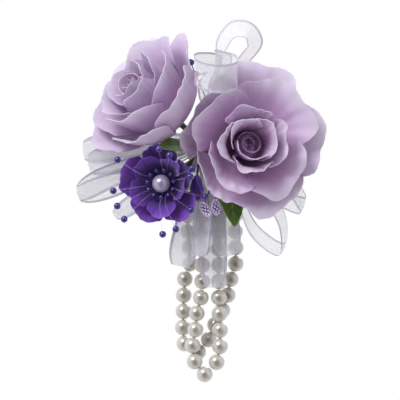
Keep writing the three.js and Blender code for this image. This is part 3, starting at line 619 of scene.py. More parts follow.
def petal_part(place, layer, index, rows=40, cols=64):
    """One petal: s runs across it from -1 to 1 and q along it from 0 to 1.

    Its rim is a flat arch with a small point and a scalloped edge. It leans out of its neighbour on one side
    by the lap, curls back over the last third, and its edge waves with the ruffle."""
    s = np.linspace(-1, 1, cols)[None, :]
    q = np.linspace(0, 1, rows)[:, None]
    middle = layer["turn"] + 2 * np.pi * index / layer["count"]
    length = 1 - layer["uneven"] * (0.5 + 0.5 * np.sin(2.4 * index + 5 * layer["turn"]))
    wave = 1.9 * index + 3 * layer["turn"]
    edge = 1 - layer["round"] * s**4 - layer["notch"] * (0.5 + 0.5 * np.sin(13 * s + wave)) * s**2
    edge = edge + layer["cusp"] * np.exp(-((s / 0.3) ** 2))
    edge = edge - EDGE_JAG * (np.sin(61 * s + wave) + np.sin(97 * s + 2 * wave))
    edge = edge - layer["scallop"] * (0.5 + 0.5 * np.sin(7.5 * s + 3 * wave))
    t = q * length * edge
    wide = layer["lean"] * np.cos(middle - layer["lean_angle"])
    wide = wide + layer["flare"] * np.sin(1.7 * index + layer["turn"])
    at, way = bowl_point(layer["profile"], t)
    at = at * np.stack([1 + wide * t**1.5, 1 - 0.6 * wide * t], -1)
    rim = np.clip((t - RIM_START) / (1 - RIM_START), 0, 1)
    swing = np.sin(4.2 * s + wave) + 0.6 * np.sin(9.5 * s + 2 * wave) + 0.25 * np.sin(23 * s + 5 * wave)
    out = layer["lap"] * s * t + layer["roll"] * s**2 * t**2
    out = out + layer["curl"] * rim**2 * (1 + 0.8 * np.sin(2.2 * s + wave)) + layer["ruffle"] * t**3 * swing
    out = out + CREASE * np.sin(27 * s + 2 * np.sin(3 * q + wave)) * t
    radius = at[..., 0] + way[..., 1] * out
    height = at[..., 1] - way[..., 0] * out
    angle = middle + s * layer["spread"] * (0.6 + 0.4 * t)
    points = place(radius, angle, height)
    # The tone is painted shade: darkest at the petal's base down in the flower, paling towards the rim.
    tone = layer["tone"] + (1 - layer["tone"]) * np.clip(t, 0, 1) ** layer["fade"]
    return sheet_part(points, PETAL_CLOTH * MM, PETAL_MAP[0] * s + 0 * q, PETAL_MAP[1] * t, tone)


def hub_part(place, radius, thickness, height, tone):
    """The disc that a petal layer is cut in one with."""
    angle = np.linspace(0, 2 * np.pi, 28, endpoint=False)[None, :]
    level = np.array([-0.5, -0.5, 0.5, 0.5])[:, None] * thickness + height
    ring = np.array([0.9, 1.0, 1.0, 0.9])[:, None] * radius
    points = place(ring, angle, level + 0 * angle)
    return wrapped_part(points, 0.0, 0.0, tone)


# %% Roses
OPEN_BOWLS = [
    dict(count=5, bowl=[(0.7, -0.06), (0.85, 0.3), (1.02, 0.42)],
         lap=2.2, roll=0.8, round=0.25, curl=2.6, ruffle=1.5),
    dict(count=4, bowl=[(0.52, 0.02), (0.64, 0.52), (0.86, 0.64)],
         lap=2.0, roll=0.7, round=0.25, curl=2.6, ruffle=1.5),
    dict(count=4, bowl=[(0.38, 0.16), (0.36, 0.6), (0.47, 0.9)],
         lap=1.1, roll=0.4, round=0.16, curl=2.2, ruffle=0.7),
    dict(count=3, bowl=[(0.26, 0.24), (0.28, 0.62), (0.3, 1.0)],
         lap=0.9, roll=0, round=0.12, curl=1.2, ruffle=0.25),
]
CUPPED_BOWLS = [
    dict(count=5, bowl=[(0.62, -0.08), (0.78, 0.38), (0.96, 0.74)],
         lap=1.8, roll=0.8, round=0.22, curl=2.6, ruffle=1.2),
    dict(count=4, bowl=[(0.5, 0.04), (0.6, 0.5), (0.74, 0.95)],
         lap=1.4, roll=0.6, round=0.2, curl=2.0, ruffle=0.6),
    dict(count=4, bowl=[(0.38, 0.13), (0.42, 0.6), (0.48, 1.04)],
         lap=1, roll=0.4, round=0.16, curl=1.4, ruffle=0.4),
    dict(count=3, bowl=[(0.26, 0.24), (0.28, 0.62), (0.3, 1.08)],
         lap=0.8, roll=0, round=0.12, curl=1.0, ruffle=0.2),
]
LAYER_NAMES = ["outer_petals", "middle_petals", "inner_petals", "wrap_petals"]
# Each layer's base tone: inner layers start darker, as painted shade deeper in the cup.
LAYER_SHADE_TONES = [0.3, 0.2, 0.12, 0.1]
BUD_SEAT = 6.0
BUD_CLEARANCE = 3.2
BUD_MAP = (6, 24)
BUD_TOP = 0.93
BUD_CUT = 1.1
HEART_RINGS = 24
HEART_WIDTH = 1.15
HEART_CLOTH = 0.6
HEART_DEPTH = 5.0
HEART_FOLD = 0.9
WRAP_SHARE = 0.28
FLARED_LAYERS = 2
# The petal tone's falloff spreads painted shade from the petal bases; it is larger on the right rose, which
# stands in less light.
LEFT_ROSE = dict(
    name="left_rose", base=(-21, -24, 16.5), facing=(-0.68, -0.5, 0.54), spin=0.3, reach=34, height=33,
    bowls=CUPPED_BOWLS, lean=0.12, lean_angle=1.9, flare=0.04, fade=1.3, bud_share=1.0,
    bud=dict(turns=2.7, slope=0.0, eye=0.9))
RIGHT_ROSE = dict(
    name="right_rose", base=(14.5, -29, 1), facing=(0.17, -0.97, 0.1), spin=0.3, reach=34, height=34,
    bowls=OPEN_BOWLS, lean=0.16, lean_angle=1.0, flare=0.05, fade=1.8, bud_share=0.68,
    bud=dict(turns=1.45, slope=0.12, eye=2.4))


def rolled_bud(place, girth, height, turns, slope, eye):
    """One strip rolled in a spiral: its radius grows from the eye with the turn.

    It swells at half height, its top leans out, and the slope cuts the top down on one side."""
    turn = np.linspace(0, 2 * np.pi * turns, 230)[None, :]
    share = turn / turn.max()
    v = np.linspace(0, 1, 26)[:, None]
    swell = 0.35 + 0.65 * np.sin(np.pi * (0.1 + 0.62 * v)) ** 0.8
    radius = (eye + (girth - eye) * share**0.85) * swell
    radius = radius + 0.9 * share * v**6
    top = height * (BUD_TOP + 0.05 * np.sin(1.4 * turn) + 0.04 * share - slope * (1 + np.cos(turn - BUD_CUT)))
    level = BUD_SEAT + v * (top - BUD_SEAT)
    # Painted shade: the strip is darker low down and on its inner turns, deep in the bud.
    tone = 0.1 + 0.75 * v**1.5 * (0.6 + 0.4 * share)
    points = place(radius, turn, level)
    return sheet_part(points, PETAL_CLOTH * MM, BUD_MAP[0] * turn + 0 * v, BUD_MAP[1] * v + 0 * turn, tone)


def heart_part(place, girth, height, slope):
    """The folded cloth in the heart of a bud: a floor a little below the strip's top, with winding folds."""
    angle = np.linspace(0, 2 * np.pi, 90, endpoint=False)[None, :]
    ring = np.concatenate([[0.1, 1.0], np.linspace(1.0, 0.03, HEART_RINGS)])[:, None]
    under = np.concatenate([[HEART_CLOTH, HEART_CLOTH], np.zeros(HEART_RINGS)])[:, None]
    fold = np.sin(2 * angle + 6.5 * ring)
    top = height * (BUD_TOP - slope * (1 + ring * np.cos(angle - BUD_CUT)))
    level = top - HEART_DEPTH - under + HEART_FOLD * fold
    points = place(girth * ring + 0 * angle, angle, level)
    # Painted shade and light: the tone is lighter on the crests of the folds and darker in their troughs.
    return wrapped_part(points, BUD_MAP[0] * angle, BUD_MAP[0] * ring, 0.4 + 0.25 * fold)


def calyx_part(place, radius, thickness):
    """The green cup under a hub of this size: a turned profile with a low ridge for each sepal."""
    foot = STEM_RADIUS
    low = -CALYX_LENGTH
    top = -thickness / 2 - FIT
    radius = np.array([0.6, 1.0, 1.2, 0.8 * radius / foot, radius / foot]) * foot
    level = np.array([low, low, low * 0.6, low * 0.3, top])
    share = np.linspace(0, 4, 33)
    angle = np.linspace(0, 2 * np.pi, 60, endpoint=False)[None, :]
    ring = np.interp(share, np.arange(5), radius)[:, None]
    height = np.interp(share, np.arange(5), level)[:, None]
    ridge = 1 + 0.06 * np.cos(SEPALS * angle) * (share[:, None] / 4)
    return wrapped_part(place(ring * ridge, angle, height + 0 * angle), 6 * angle, height, 0.5)


def rose(name, base, facing, spin, reach, height, bowls, lean, lean_angle, flare, fade, bud_share, bud):
    """All the pieces of one rose: calyx, four petal layers on their hubs, and the bud with its heart."""
    place = flower_frame(base, facing)
    cup = calyx_part(place, **ROSE_HUB)
    make_piece(f"{name}_green_cup", [cup], leaf_cloth, ROOT, [f"{name}_calyx"])
    for level, bowl in enumerate(bowls):
        hub = level * ROSE_LEVEL
        rims = [(r * reach, hub + h * (height - hub)) for r, h in bowl["bowl"]]
        layer = dict(bowl, uneven=0.05, notch=0.0, scallop=0.08, cusp=0.05)
        layer.update(fade=fade, tone=LAYER_SHADE_TONES[level])
        layer.update(turn=spin + 0.7 * level, spread=1.3 * np.pi / bowl["count"])
        layer.update(profile=[(ROSE_HUB_EDGE, hub), *rims])
        layer.update(lean=lean, lean_angle=lean_angle, flare=flare if level < FLARED_LAYERS else 0.0)
        parts = [petal_part(place, layer, k) for k in range(bowl["count"])]
        parts.append(hub_part(place, **ROSE_HUB, height=hub, tone=layer["tone"]))
        node = f"{name}_{LAYER_NAMES[level]}"
        make_piece(f"{node}_cloth", parts, lilac_cloth, ROOT, [node])
    girth = WRAP_SHARE * reach - BUD_CLEARANCE
    strip = rolled_bud(place, girth, height * bud_share, **bud)
    heart = heart_part(place, HEART_WIDTH * girth, height * bud_share, bud["slope"])
    make_piece(f"{name}_rolled_bud", [strip, heart], lilac_cloth, ROOT, [f"{name}_bud"])


rose(**LEFT_ROSE)
rose(**RIGHT_ROSE)

# %% Purple flower
PURPLE_BASE = (-25, -33, -16.5)
PURPLE_FACING = (-0.16, -0.97, -0.04)
PURPLE_REACH = 19
PURPLE_HEIGHT = 13
PURPLE_PETALS = 5
# The tone of each layer is painted shade at the petal bases: the front layer, nearer the centre, starts
# darker.
PURPLE_BOWLS = {
    "back_petals": dict(bowl=[(0.6, 0.05), (0.85, 0.45), (1, 0.8)],
                         lap=1.0, roll=-0.8, curl=0.9, ruffle=0.6, tone=0.25),
    "front_petals": dict(bowl=[(0.5, 0.25), (0.58, 0.75), (0.76, 1.15)],
                         lap=0.8, roll=-0.5, curl=0.7, ruffle=0.5, tone=0.05),
}
purple_place = flower_frame(PURPLE_BASE, PURPLE_FACING)
cup = calyx_part(purple_place, **PURPLE_HUB)
make_piece("purple_flower_green_cup", [cup], leaf_cloth, ROOT, ["purple_flower_receptacle"])
for level, (layer_name, bowl) in enumerate(PURPLE_BOWLS.items()):
    hub = level * PURPLE_LEVEL
    rims = [(r * PURPLE_REACH, hub + h * (PURPLE_HEIGHT - hub)) for r, h in bowl["bowl"]]
    layer = dict(bowl, uneven=0.12, notch=0.1, scallop=0.0, cusp=0.03, round=0.25, fade=1.3)
    layer.update(count=PURPLE_PETALS, turn=0.2 + 0.63 * level, spread=1.15 * np.pi / PURPLE_PETALS)
    layer.update(profile=[(PURPLE_HUB_EDGE, hub), *rims])
    layer.update(lean=0.22, lean_angle=3.5, flare=0.1)
    parts = [petal_part(purple_place, layer, k) for k in range(PURPLE_PETALS)]
    parts.append(hub_part(purple_place, **PURPLE_HUB, height=hub, tone=layer["tone"]))
    node = f"purple_flower_{layer_name}"
    make_piece(f"{node}_cloth", parts, purple_cloth, ROOT, [node])

# %% [markdown]
# The stamens are clear filaments with a bead at the tip: a ring of short ones round the centre pearl, and
# long ones whose beads stand at the places that the photograph shows.

# %% Stamens, centre pearl and bead sprays
STAMEN_COUNT = 11
CENTRE_PEARL_HEIGHT = 7.9
CENTRE_PEARL_RADIUS = 4.5
STAMEN_HUB_HEIGHT = 2.6
STAMEN_HUB = dict(radius=2.5, thickness=1.0)
STAMEN_ROOT = 1.5
STAMEN_BEND = 5.85
STAMEN_REACH = 6.8
STAMEN_BEAD = 1.15
SPRAY_BEAD = 1.75
SPRAY_ARCH = (11.0, 3.5)
FILAMENT = 0.13
SPRAY_WIRE = 0.3
SPRAY_BEADS = [
    (-48, -42, -5), (-50, -45, -20.5), (-48, -47, -28), (-44.5, -48, -34.5),
    (-25.5, -46, -42), (-19, -46, -39.5), (-11.5, -47, -30), (-11, -50, -9.5),
    (-12, -52, -13.5), (-27, -59, 0), (-22, -58, -3), (-4.5, -45, -23.5),
]


def filament(points):
    """A thin clear line on a smooth path through the points, which are in metres."""
    return tube_part(smooth_path(points, 30), FILAMENT * MM, 6)


turns = 2 * np.pi * np.arange(STAMEN_COUNT) / STAMEN_COUNT
short_beads = purple_place(STAMEN_REACH, turns, CENTRE_PEARL_HEIGHT + 1.5)
lines = []
for turn, bead in zip(turns, short_beads):
    low = purple_place(STAMEN_ROOT, turn, STAMEN_HUB_HEIGHT)
    bend = purple_place(STAMEN_BEND, turn, CENTRE_PEARL_HEIGHT - 2.5)
    lines.append(filament([low, bend, bead]))
long_beads = np.array(SPRAY_BEADS) * MM
centre_line = purple_place(0.0, 0.0, 0.0)
axis_z = unit(purple_place(0, 0, 1.0) - centre_line)
axis_x = unit(purple_place(1.0, 0.0, 0.0) - centre_line)
axis_y = np.cross(axis_z, axis_x)
bead_turns = np.arctan2((long_beads - centre_line) @ axis_y, (long_beads - centre_line) @ axis_x)
for turn, bead in zip(bead_turns, long_beads):
    low = purple_place(STAMEN_ROOT, turn, STAMEN_HUB_HEIGHT)
    bend = purple_place(STAMEN_BEND, turn, CENTRE_PEARL_HEIGHT - 1)
    over = purple_place(SPRAY_ARCH[0], turn, PURPLE_HEIGHT + SPRAY_ARCH[1])
    lines.append(filament([low, bend, over, bead]))
beads = ball_parts(short_beads, STAMEN_BEAD * MM, 14, 10)
more = ball_parts(long_beads, SPRAY_BEAD * MM, 16, 12)
stud = hub_part(purple_place, **STAMEN_HUB, height=STAMEN_HUB_HEIGHT, tone=0.0)
make_piece("stamen_beads", [beads, more], violet_bead, ROOT, ["stamen_spray"])
make_piece("stamen_lines", [stud, *lines], clear_line, ROOT, ["stamen_spray"])
centre_pearl = ball_parts(purple_place(0.0, 0.0, CENTRE_PEARL_HEIGHT), CENTRE_PEARL_RADIUS * MM, 48, 32)
make_piece("centre_pearl_gloss", [centre_pearl], lilac_pearl, ROOT, ["purple_flower_centre_pearl"])

back_wire = np.array([(-2, -9, 12.6), (-4, -11, 26), (-10, -15, 40), (-11.5, -16, 44.5)]) * MM
back_beads = np.array([(-11.5, -16, 44.5), (-9, -14.3, 38.5)]) * MM
back_balls = ball_parts(back_beads, SPRAY_BEAD * MM, 16, 12)
wire = tube_part(smooth_path(back_wire, 40), SPRAY_WIRE * MM, 8)
make_piece("back_spray_beads", [back_balls, wire], violet_bead, ROOT, ["back_bead_spray"])

# %% [markdown]
# Leaves are folded along the midrib, with side veins pressed into the cloth. The berries are seed beads on an
# oval core, and the folded bud is a closed oval whose petals wind round it.

# %% Leaves
LEAF_CLOTH = 0.5
STALK_RADIUS = 0.55
STALK_START = -20.9


def leaf_part(root, tip, length, width, upward, rows=60, cols=33):
    """A leaf blade: its half-width follows a sine along it, its sides fold up and its tip bends down."""
    start = np.array(root, float)
    along = unit(np.array(tip) - start)
    across = unit(np.cross(along, upward))
    up = np.cross(across, along)
    s = np.linspace(-1, 1, cols)[None, :]
    q = np.linspace(0, 1, rows)[:, None]
    half = width / 2 * (0.06 + 0.94 * np.sin(np.pi * q**0.85) ** 0.8)
    half = half * (1 - 0.05 * (0.5 + 0.5 * np.sin(70 * q)) * s**6)
    vein = np.sin(2 * np.pi * (7 * q - 1.6 * np.abs(s)))
    lift = 0.22 * np.abs(s) * half - 0.08 * length * q**2 + 0.12 * vein * np.abs(s) * (1 - s**2)
    lift = lift + 0.3 * np.sin(9 * q + 2 * s) * s**2
    points = start + (q * length)[..., None] * along + (s * half)[..., None] * across + lift[..., None] * up
    tone = 0.35 + 0.18 * vein * (1 - np.abs(s)) + 0.55 * np.exp(-((s / 0.06) ** 2)) + 0.35 * np.abs(s) ** 8
    return sheet_part(points * MM, LEAF_CLOTH * MM, s * half, q * length, np.clip(tone, 0, 1))


def stalk_part(points):
    """A taped wire stalk on a smooth path through points in millimetres."""
    return tube_part(smooth_path(np.array(points, float) * MM, 40), STALK_RADIUS * MM, 10, 0.3)


upper_blade = leaf_part((-12, -32, 1.8), (-31, -57, 2.6), 24, 10, (0.1, -0.75, 0.65))
upper_stalk = stalk_part([(-5, STALK_START, 7), (-7, -26, 6), (-12.5, -32.6, 1.8)])
make_piece("upper_leaf_cloth", [upper_blade, upper_stalk], leaf_cloth, ROOT, ["upper_leaf"])
lower_blade = leaf_part((7, -28, -12), (10.5, -36, -36), 27, 13, (0.2, -1, 0))
lower_stalk = stalk_part([(6.3, STALK_START, 4), (7.5, -26, 2), (7.1, -28.3, -12.8)])
make_piece("lower_leaf_cloth", [lower_blade, lower_stalk], leaf_cloth, ROOT, ["lower_leaf"])

# %% Berries and folded bud
BERRY_SEEDS = 40
SEED_RADIUS = 0.6
SEED_OVAL = (1.95, 3.9)
CORE_OVAL = (1.75, 3.6)
BERRY_FOOT = -2.2
BUD_LENGTH = 13
BUD_PETALS = 3


def berry(name, stalk, centre, axis):
    """Seed beads on an oval, spread by the golden angle, over a dark core on its stalk."""
    place = flower_frame(centre, axis)
    k = np.arange(BERRY_SEEDS) + 0.5
    polar = np.arccos(1 - 2 * k / BERRY_SEEDS)
    turn = np.pi * (1 + 5**0.5) * k
    seeds = place(SEED_OVAL[0] * np.sin(polar), turn, SEED_OVAL[1] * np.cos(polar))
    core_polar = np.linspace(0.1, np.pi - 0.1, 16)[:, None]
    core_turn = np.linspace(0, 2 * np.pi, 20, endpoint=False)[None, :]
    core = place(CORE_OVAL[0] * np.sin(core_polar), core_turn, CORE_OVAL[1] * np.cos(core_polar))
    core = wrapped_part(core, 0.0, 0.0, 0.0)
    stem = stalk_part([*stalk, place(0.0, 0.0, BERRY_FOOT) / MM])
    balls = ball_parts(seeds, SEED_RADIUS * MM, 12, 8)
    make_piece(f"{name}_seeds", [balls], berry_bead, ROOT, [name])
    make_piece(f"{name}_core", [core, stem], berry_core, ROOT, [name])


front_stalk = [(-1, STALK_START, 5), (0.2, -27, 2), (0, -31, -14)]
back_stalk = [(2.2, STALK_START, 5), (2.6, -27, 2), (2.6, -30, -14)]
berry("front_berry_bud", front_stalk, (-4.5, -38, -29.5), (0.5, -0.1, -0.8))
berry("back_berry_bud", back_stalk, (1, -34, -28.5), (0.1, -0.1, -1))

bud_turn = np.linspace(0, 2 * np.pi, 90, endpoint=False)[None, :]
bud_share = np.linspace(0.01, 0.99, 40)[:, None]
bud_girth = np.interp(bud_share, [0, 0.2, 0.55, 0.92, 1], [0.8, 2.45, 3.5, 1.75, 0.3])
bud_fold = ((BUD_PETALS * bud_turn / (2 * np.pi) + 0.8 * bud_share) % 1) - 0.5
bud_radius = bud_girth * (1 + 0.2 * bud_fold)
bud_place = flower_frame((-8.5, -37, -12.5), (0.0, -0.001, -1.0))
bud_level = BUD_LENGTH * bud_share
# Painted shade: each petal is darker where it tucks under the next and lighter at its outer edge.
bud_shade_tone = np.clip(0.6 + 0.6 * bud_fold, 0, 1)
bud_points = bud_place(bud_radius, bud_turn, bud_level + 0 * bud_turn)
bud = wrapped_part(bud_points, 5 * bud_turn, bud_level, bud_shade_tone)
bud_stem = stalk_part([(-5.5, STALK_START, 4), (-6.5, -30, 1), (-8.5, -37, -13)])
make_piece("folded_bud_cloth", [bud, bud_stem], purple_cloth, ROOT, ["folded_bud"])

# %% [markdown]
# Each ribbon loop is one strip of 15 mm organza on a smooth curve, gathered to a narrow tail at the tie. A
# teardrop loop leaves its root, opens by its bulge to both sides and comes back beside its start.

# %% Ribbon loops
RIBBON_WIDTH = 15
NARROW_WIDTH = 10
RIBBON_CLOTH = 0.14
TAIL_SHARE = 0.36
TAIL_SPREAD = 0.6
PINCH_LENGTH = 0.07
RIBBON_STEPS = 130
RIBBON_COLUMNS = 31
TIE_ROOT_RADIUS = 10.1
TIE_SIDES = 96
BUNDLE_RISE = 3


def ribbon(name, points, directions, width, fold, pinch=0.0):
    """A strip along the points whose width lies along the directions, gathered as a sine at both ends.

    The pinch draws it in at the tip. Its edges lift by the fold, and a slow wave runs along it."""
    path = smooth_path(points, RIBBON_STEPS)
    way = unit(np.gradient(path, axis=0))
    lean = unit(smooth_path(directions, RIBBON_STEPS))
    across = unit(lean - way * np.sum(lean * way, axis=1, keepdims=True))
    face = np.cross(way, across)
    q = np.linspace(0, 1, RIBBON_STEPS)[:, None]
    s = np.linspace(-1, 1, RIBBON_COLUMNS)[None, :]
    body = np.sin(np.pi * q) ** 0.7
    gather = (TAIL_SHARE + (1 - TAIL_SHARE) * body) * (1 - pinch * np.exp(-(((q - 0.5) / PINCH_LENGTH) ** 2)))
    lift = fold * (s**2 - 0.4) * body + 0.35 * fold * np.sin(11 * q + 2.5 * s) * body
    lift = lift + 0.25 * np.cos(9 * np.pi * s) * (1 - body)
    points = path[:, None] + (s * gather * width / 2)[..., None] * across[:, None]
    points = points + lift[..., None] * face[:, None]
    reach = np.concatenate([[0], np.cumsum(np.linalg.norm(np.diff(path, axis=0), axis=1))])[:, None]
    part = sheet_part(points * MM, RIBBON_CLOTH * MM, s * width / 2, reach, np.abs(s) + 0 * q)
    node = f"ribbon_{name}_loop"
    strip = make_piece(f"{node}_strip", [part], sheer_ribbon, ROOT, [node], sharp=60)


def tie_root(degrees, y):
    """A root on the side of the tie, at an angle from +X towards +Z."""
    angle = math.radians(degrees)
    return (TIE_ROOT_RADIUS * math.cos(angle), y, BUNDLE_RISE + TIE_ROOT_RADIUS * math.sin(angle))


def teardrop(name, root, tip, side, bulge, width=RIBBON_WIDTH, fold=0.5, pinch=0.0):
    """A loop from root to tip that opens along side by the bulge."""
    start = np.array(root, float)
    along = np.array(tip, float) - start
    across = unit(np.cross(along, side))
    opening = unit(np.cross(across, along))
    shares = np.array([0, 0.35, 0.75, 1, 0.75, 0.35, 0])
    outs = np.array([TAIL_SPREAD, 0.7 * bulge, bulge, 0, -bulge, -0.7 * bulge, -TAIL_SPREAD])
    points = start + shares[:, None] * along + outs[:, None] * opening
    ribbon(name, points, np.tile(across, (7, 1)), width, fold, pinch)


# %% Tie band and loops
tie_turn = np.linspace(0, 2 * np.pi, TIE_SIDES, endpoint=False)[None, :]
tie_ring = np.array([8.35, 9.2, 9.3, 9.3, 9.2, 8.35, 8.35])[:, None]
tie_level = np.array([-3.9, -3.9, -4.1, -13.7, -13.9, -13.9, -3.9])[:, None]
tie_ripple = tie_ring * (1 + 0.004 * np.sin(24 * tie_turn))
tie_points = np.stack([
    tie_ripple * np.cos(tie_turn),
    tie_level + 0 * tie_turn,
    BUNDLE_RISE + tie_ripple * np.sin(tie_turn),
], -1) * MM
tie_rings = len(tie_ring) - 1
tie_count = tie_rings * TIE_SIDES
tie_maps = np.stack(np.broadcast_arrays(9 * tie_turn, tie_level[:-1]), -1).reshape(-1, 2)
tie_quads = grid_quads(tie_rings + 1, TIE_SIDES, wrap=True) % tie_count
tie_part = (tie_points[:-1].reshape(-1, 3), tie_quads, tie_maps, np.full(tie_count, 0.5))
make_piece("ribbon_tie_band", [tie_part], tie_ribbon, ROOT, ["ribbon_tie"])

teardrop("left_upper", tie_root(168, -6.5), (-66, -10, 0), (0, 1, 0.25), 3.2, pinch=0.35)
teardrop("left_middle", tie_root(180, -11), (-63, -19, -7), (0, 1, 0.25), 3, pinch=0.35)
teardrop("left_lower", tie_root(190, -13.5), (-68, -32, -22), (0, 0.88, 0.5), 4.5, pinch=0.4)
teardrop("under_flower", tie_root(228, -11.5), (-50, -17, -33), (0, 1, 0.2), 1.8, NARROW_WIDTH, 0.3, 0.55)
teardrop("bottom_left", (-5.5, -24, -1.5), (-17, -26.5, -58), (0, 1, 0.1), 1.8, fold=0.3, pinch=0.4)
teardrop("bottom_middle", (-3, -26.9, -1.5), (-7, -34, -53), (0.4, 0.9, 0), 1.5, NARROW_WIDTH, 0.3, 0.4)
teardrop("bottom_right", (3.5, -23.6, -1.5), (7, -25.5, -53), (0, 1, 0), 1.4, fold=0.3, pinch=0.5)
teardrop("long", (0, -21.6, -1.5), (-0.5, -21.9, -69), (0, 1, 0), 0.8, fold=0.2, pinch=0.6)
teardrop("right_low", tie_root(-36, -13), (34, -31, -50), (0.8, 0.4, 0.45), 8)
teardrop("right_back", tie_root(-12, -8), (45, -20, -28), (0.3, 0.6, 0.75), 5)
ring_width = (0, -0.35, 0.93)
top_loop = [
    (tie_root(77, -8), (0, 1, 0.05)), ((4, -12, 32), (0, 1, 0.1)), ((2.5, -15, 44), (-0.1, 0.95, 0.3)),
    ((4, -18.5, 53), (-0.35, 0.85, 0.4)), ((10, -21, 60.5), (-0.1, 0.8, 0.6)),
    ((17, -20, 60), (0.3, 0.8, 0.5)), ((20.5, -17, 53.5), (0.55, 0.8, 0.1)),
    ((15.5, -14, 46), (0.5, 0.85, -0.1)), ((9, -10.5, 36), (0.3, 0.95, 0)), (tie_root(64, -8), (0, 1, 0.05)),
]
front_loop = [
    (tie_root(104, -12.5), (0, 1, 0.05)), ((-4, -22, 32), (0.8, 0.3, 0.2)),
    ((0, -36, 42.5), (0.5, -0.3, 0.8)),
    ((-8, -44.5, 42), ring_width), ((-9.5, -53, 39), ring_width), ((-4.5, -61, 35.5), ring_width),
    ((4, -62.5, 34.5), ring_width), ((11, -56, 36.5), ring_width), ((10, -47, 40.5), ring_width),
    ((0.5, -41, 43.5), ring_width), ((5, -35, 43), (0.5, -0.3, 0.8)), ((1, -22, 32), (0.8, 0.3, 0.2)),
    (tie_root(96, -12.5), (0, 1, 0.05)),
]
for loop_name, loop_rows in [("top", top_loop), ("front", front_loop)]:
    loop_points, loop_across = zip(*loop_rows)
    ribbon(loop_name, loop_points, loop_across, RIBBON_WIDTH, 0.5)

# %% [markdown]
# Pearls hang in two parallel planes. Each bar of pearls is rigid on its own body, so its pearls and the
# thread between them ride on that body. The headings, in degrees, give the way from each pearl to the next.

# %% Pearl strands
PEARL_RADIUS = 4.0
PEARL_PITCH = 8.2
THREAD = 0.45
CORD_TOPS = {
    "front_left": (-6, -15.7, -25.0), "front_right": (2.5, -15.7, -25.0),
    "back_left": (-14, -7, -16.3), "back_right": (10.5, -7, -16.3),
}
HEADINGS = {
    "front_left": ([0, 0, 1, 0, 0], [-5, -14.5, -5, -10.5, 8, 38]),
    "front_right": ([0, 0, 0, 0, 0], [0, 2, 2, 0, -12]),
    "back_left": ([1, 2, 4, 4, 3], [-19, -4, -1, -2, 5, 59]),
    "back_right": ([2, 0, 0, 2, 0], [-18, -10.5, -19.5, -27, -23.4]),
}


def pearl_line(start, headings):
    """The centres of pearls one pitch apart, each at its heading from the one before."""
    angle = np.radians(headings)
    step = np.stack([np.sin(angle), 0 * angle, -np.cos(angle)], -1) * PEARL_PITCH
    return np.array(start, float) + np.cumsum(step, axis=0)


def pearl_bar(strand, half, hand, centres):
    """Smooth pearls on one body, with the thread that shows between them."""
    node = f"{strand}_{half}_{hand}_pearls"
    body = f"{strand}_{half}_{hand}"
    balls = ball_parts(centres * MM, PEARL_RADIUS * MM, 40, 28)
    thread = tube_part(centres * MM, THREAD * MM, 8)
    make_piece(f"{node}_gloss", [balls], ivory_pearl, body, [node])
    make_piece(f"{node}_thread", [thread], elastic, body, [node])


for cord_name, top in CORD_TOPS.items():
    strand, hand = cord_name.split("_")
    upper = pearl_line(top, HEADINGS[cord_name][0])
    lower = pearl_line(upper[-1], HEADINGS[cord_name][1])
    pearl_bar(strand, "upper", hand, upper)
    pearl_bar(strand, "lower", hand, lower)
    top_pearl = ball_parts(np.array(top) * MM, PEARL_RADIUS * MM, 40, 28)
    node = f"{cord_name}_top_pearl"
    hanger = body_of(frame["nodes"][node])[0]
    make_piece(f"{cord_name}_top_gloss", [top_pearl], ivory_pearl, hanger, [node])

# %% [markdown]
# Behind the flowers are the taped stems, the bracelet plate with its cord ends, and the felt pad on its back.

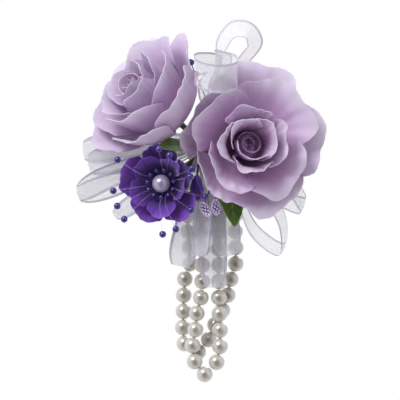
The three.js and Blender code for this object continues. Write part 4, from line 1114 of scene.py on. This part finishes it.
# %% Stem bundle, plate, cord ends and pad
BUNDLE_RADIUS = 7.95
BUNDLE_LENGTH = 17
BUNDLE_BACK = -3.6
STEM_START = -17.6
STEM_STRAIGHT = 2
TAPE_PITCH = 3.4
TAPE_STEP = 0.18
KNOT_RADIUS = 1.5
CORD_RADIUS = 0.6
PAD_HALF = (14, 11)
bundle_turn = np.linspace(0, 2 * np.pi, 80, endpoint=False)[None, :]
bundle_level = np.linspace(0, BUNDLE_LENGTH, 60)[:, None]
bundle_step = ((bundle_level / TAPE_PITCH + bundle_turn / (2 * np.pi)) % 1) * TAPE_STEP
bundle_radius = BUNDLE_RADIUS - bundle_step
bundle_points = np.stack([
    bundle_radius * np.cos(bundle_turn),
    BUNDLE_BACK - bundle_level + 0 * bundle_turn,
    BUNDLE_RISE + bundle_radius * np.sin(bundle_turn),
], -1) * MM
stems = [wrapped_part(bundle_points, 8 * bundle_turn, bundle_level, 0.3 + 3 * bundle_step)]
flowers = [(spec["base"], spec["facing"]) for spec in (LEFT_ROSE, RIGHT_ROSE)]
for base, facing in [*flowers, (PURPLE_BASE, PURPLE_FACING)]:
    foot = np.array(base) - unit(facing) * (CALYX_LENGTH + FIT)
    before = foot - unit(facing) * STEM_STRAIGHT
    stem_path = smooth_path(np.array([(0, STEM_START, BUNDLE_RISE), before, foot]) * MM, 40)
    stems.append(tube_part(stem_path, STEM_RADIUS * MM, 16, 0.4))
make_piece("stem_bundle_tape", stems, stem_tape, ROOT, ["stem_bundle"])

plate = frame["nodes"]["bracelet_plate"]
plate.data.materials.clear()
plate.data.materials.append(clear_plate)
for cord_name, top in CORD_TOPS.items():
    node = f"{cord_name}_cord_end"
    low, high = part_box(node)
    knot_at = (top[0] * MM, top[1] * MM, high[2] - KNOT_RADIUS * MM)
    knot = ball_parts([knot_at], KNOT_RADIUS * MM, 24, 16, (1, 1, 0.92))
    drop = tube_part([(*knot_at[:2], low[2]), knot_at], CORD_RADIUS * MM, 16)
    body = body_of(frame["nodes"][node])[0]
    make_piece(f"{node}_knot", [knot, drop], elastic, body, [node])

pad_turn = np.linspace(0, 2 * np.pi, 120, endpoint=False)[None, :]
pad_ring = np.array([0.3, 0.7, 0.93, 0.985, 1.0, 1.0, 0.985, 0.93, 0.7, 0.3])[:, None]
pad_depth = np.array([0.0, 0.0, 0.02, 0.15, 0.45, 1.05, 1.35, 1.48, 1.5, 1.5])[:, None]
pad_points = np.stack([
    PAD_HALF[0] * pad_ring * np.cos(pad_turn),
    -pad_depth + 0 * pad_turn,
    PAD_HALF[1] * pad_ring * np.sin(pad_turn),
], -1)
pad_part = wrapped_part(pad_points * MM, pad_points[..., 0], pad_points[..., 2], 0.6)
pad = make_piece("wrist_pad_felt", [pad_part], felt_cloth, ROOT, ["wrist_pad"])

# %% Size
low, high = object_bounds()
print("size", [round((h - l) / MM, 1) for l, h in zip(low, high)])
